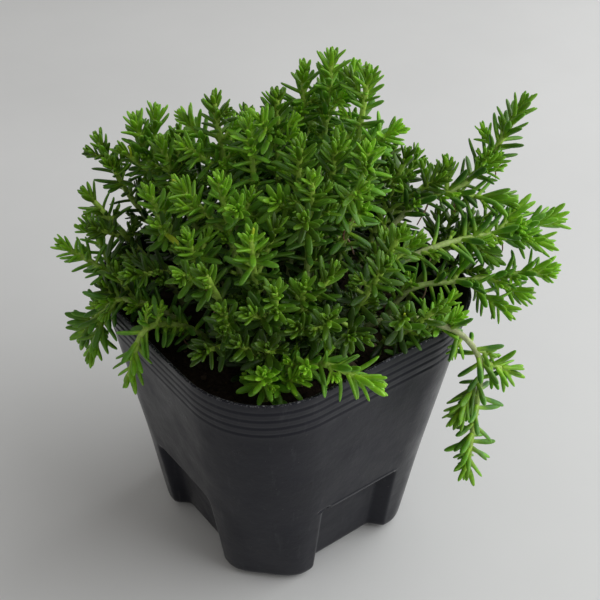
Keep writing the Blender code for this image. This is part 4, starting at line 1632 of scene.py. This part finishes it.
def pebble_material():
    colours = (0.0, (0.16, 0.10, 0.06)), (1.0, (0.42, 0.34, 0.25))
    return grainy_material("pale_pebble", 0.85, colours, (1300, 0.7, 1.2, 5.0), (1800, 0.6, 0.0004))


def panel_edge_highlight(tree, parts, scuff):
    """How pale the thin upper edge of a crisp panel is at each place: a painted highlight and
    stretch-whitened plastic, stronger where scuffed.
    """
    off = maths(tree, "ABSOLUTE", maths(tree, "SUBTRACT", parts["Z"], EDGE_AT * MM))
    line = ramp(tree, maths(tree, "DIVIDE", off, EDGE_HALF * MM), (0.4, 1.0), (1.0, 0.0))
    across = maths(tree, "LESS_THAN", maths(tree, "ABSOLUTE", parts["Y"]), PANEL_HALF * MM)
    # The scuffs make the line's painted highlight and whitening stronger in places
    scuff_share = maths(tree, "ADD", maths(tree, "MULTIPLY", scuff, 0.6), 0.7)
    return maths(tree, "MULTIPLY", maths(tree, "MULTIPLY", line, across), scuff_share)


def plastic_material():
    """Soft dark plastic: a cloudy sheen, fine scuffs, a little dried soil, a rough pale cut at the rim and a
    pale line over the crisp panels' upper edges, painted highlight and stretch-whitened plastic.
    """
    material, tree, shader = principled(
        "charcoal_plastic",
        0.45,
        Specular_IOR_Level=0.19,
        Specular_Tint=(0.84, 0.87, 1.0, 1.0),
        Sheen_Weight=0.27,
        Sheen_Roughness=0.25,
    )
    where = position(tree)
    cloud = speckle(tree, 55, 5.0, 0.65, where)
    base = ramp(tree, cloud, (0.35, (0.0070, 0.0070, 0.0105)), (0.68, (0.0130, 0.0130, 0.0180)))
    stretched = node(tree, "ShaderNodeMapping", {"Vector": where, "Scale": (1.0, 1.0, 0.15)})
    scratches = speckle(tree, 380, 6.0, 0.7, stretched.outputs["Vector"])
    scuff = ramp(tree, scratches, (0.58, 0.0), (0.72, 0.45))
    scuffed = mix(tree, scuff, base, (0.050, 0.050, 0.055))
    dust = ramp(tree, speckle(tree, 1400, 2.0, 0.5, where), (0.71, 0.0), (0.76, 0.6))
    dusty = mix(tree, dust, scuffed, (0.085, 0.075, 0.065))
    dirt = ramp(tree, speckle(tree, 700, 2.0, 0.5, where), (0.25, 0.8), (0.29, 0.0))
    dirty = mix(tree, dirt, dusty, (0.006, 0.004, 0.003))
    place_parts = node(tree, "ShaderNodeSeparateXYZ", {"Vector": where}).outputs
    at_rim = maths(tree, "GREATER_THAN", place_parts["Z"], (POT_HEIGHT - RIM_PALE) * MM)
    cut = ramp(tree, speckle(tree, 1900, 3.0, 0.6, where), (0.52, 0.0), (0.66, 0.9))
    rimmed = mix(tree, maths(tree, "MULTIPLY", at_rim, cut), dirty, (0.20, 0.20, 0.21))
    # A pale line over the crisp panels' upper edges: painted highlight, with stretch-whitened plastic
    edged = mix(tree, panel_edge_highlight(tree, place_parts, scuff), rimmed, EDGE_HIGHLIGHT)
    tree.links.new(edged, shader.inputs["Base Color"])
    sheen = ramp(tree, speckle(tree, 110, 5.0, 0.6, where), (0.3, 0.27), (0.7, 0.47))
    tree.links.new(sheen, shader.inputs["Roughness"])
    bump(tree, shader, speckle(tree, 160, 6.0, 0.6, where), 0.3, 0.0005)
    return material


def earth_material():
    material, tree, shader = principled("dark_potting_soil", 0.95, Specular_IOR_Level=0.2)
    grain = speckle(tree, 900, 6.0, 0.7)
    dark, brown, pale = (0.010, 0.007, 0.005), (0.036, 0.024, 0.015), (0.090, 0.062, 0.042)
    colour = ramp(tree, grain, (0.3, dark), (0.55, brown), (0.8, pale))
    tree.links.new(colour, shader.inputs["Base Color"])
    bump(tree, shader, speckle(tree, 1400, 5.0, 0.7), 0.9, 0.0006)
    return material


def floor_material():
    material, tree, shader = principled("pale_floor", 0.6)
    colour = ramp(tree, speckle(tree, 9, 4.0), (0.3, (0.75, 0.75, 0.745)), (0.7, (0.79, 0.79, 0.785)))
    tree.links.new(colour, shader.inputs["Base Color"])
    return material


# Floor, light and camera

LENS = 66.0
EYE_FAR = 317.5
EYE_PITCH = math.radians(37.07)
AIM = (4.9, 0.0, 78.1)
SENSOR = 36.0
NEAREST = 0.01
# In metres: the floor's half width, how far it lies under the pot, and the height that the lamp is aimed at
FLOOR_HALF = 3.0
FLOOR_BELOW = 0.0001
LIT_HEIGHT = 0.08
SKY = (1.0, 0.98, 0.95, 1)
SKY_STRENGTH = 0.30
# The lamp: its place in the clump's terms, its width in metres, its power and its colour
WINDOW = ((640, 60, 450), 1.3, 10.3, (0.97, 0.99, 1.0))


def back_of(pitch):
    """The way from the aim back to the eye, in the clump's own terms."""
    return np.array((0.0, -math.cos(pitch), math.sin(pitch)))


def make_floor():
    mesh = bpy.data.meshes.new("floor")
    half = FLOOR_HALF
    corners = [(-half, -half, 0), (half, -half, 0), (half, half, 0), (-half, half, 0)]
    mesh.from_pydata(corners, [], [(0, 1, 2, 3)])
    mesh.materials.append(floor_material())
    floor = shown("floor", mesh)
    floor.location.z = -FLOOR_BELOW


def aimed(name, data, at, way):
    """A camera or lamp that stands at a place and looks along a way."""
    made = shown(name, data)
    made.location = at
    made.rotation_mode = "QUATERNION"
    made.rotation_quaternion = way.to_track_quat("-Z", "Y")
    return made


def make_camera():
    data = bpy.data.cameras.new("camera")
    data.lens = LENS
    data.sensor_width = SENSOR
    data.clip_start = NEAREST
    back = back_of(EYE_PITCH)
    at = Vector(turned(np.array(AIM) + EYE_FAR * back) * MM)
    bpy.context.scene.camera = aimed("camera", data, at, Vector(turned(-back)))


def make_lamp(name, place, size, power, colour):
    """A soft square lamp, placed in the clump's own terms and aimed at the clump."""
    light = bpy.data.lights.new(name, "AREA")
    light.size = size
    light.energy = power
    light.color = colour
    at = Vector(turned(np.array(place)) * MM)
    aimed(name, light, at, Vector((0, 0, LIT_HEIGHT)) - at)


def make_light():
    world = bpy.data.worlds.new("studio")
    world.use_nodes = True
    bpy.context.scene.world = world
    sky = world.node_tree.nodes["Background"]
    sky.inputs["Color"].default_value = SKY
    sky.inputs["Strength"].default_value = SKY_STRENGTH
    make_lamp("window", *WINDOW)


def main():
    make_floor()
    make_camera()
    make_light()
    make_pot(plastic_material())
    make_soil(earth_material())
    scatter("soil_crumbs", *CRUMBS, crumb_material(), SCENE_SEED)
    scatter("pebbles", *PEBBLES, pebble_material(), SCENE_SEED + 1)
    make_stems(plan_fine(plan_clump()), [leaf_material(), stem_material(), root_material()])
    bpy.context.scene.view_settings.view_transform = "Standard"


main()
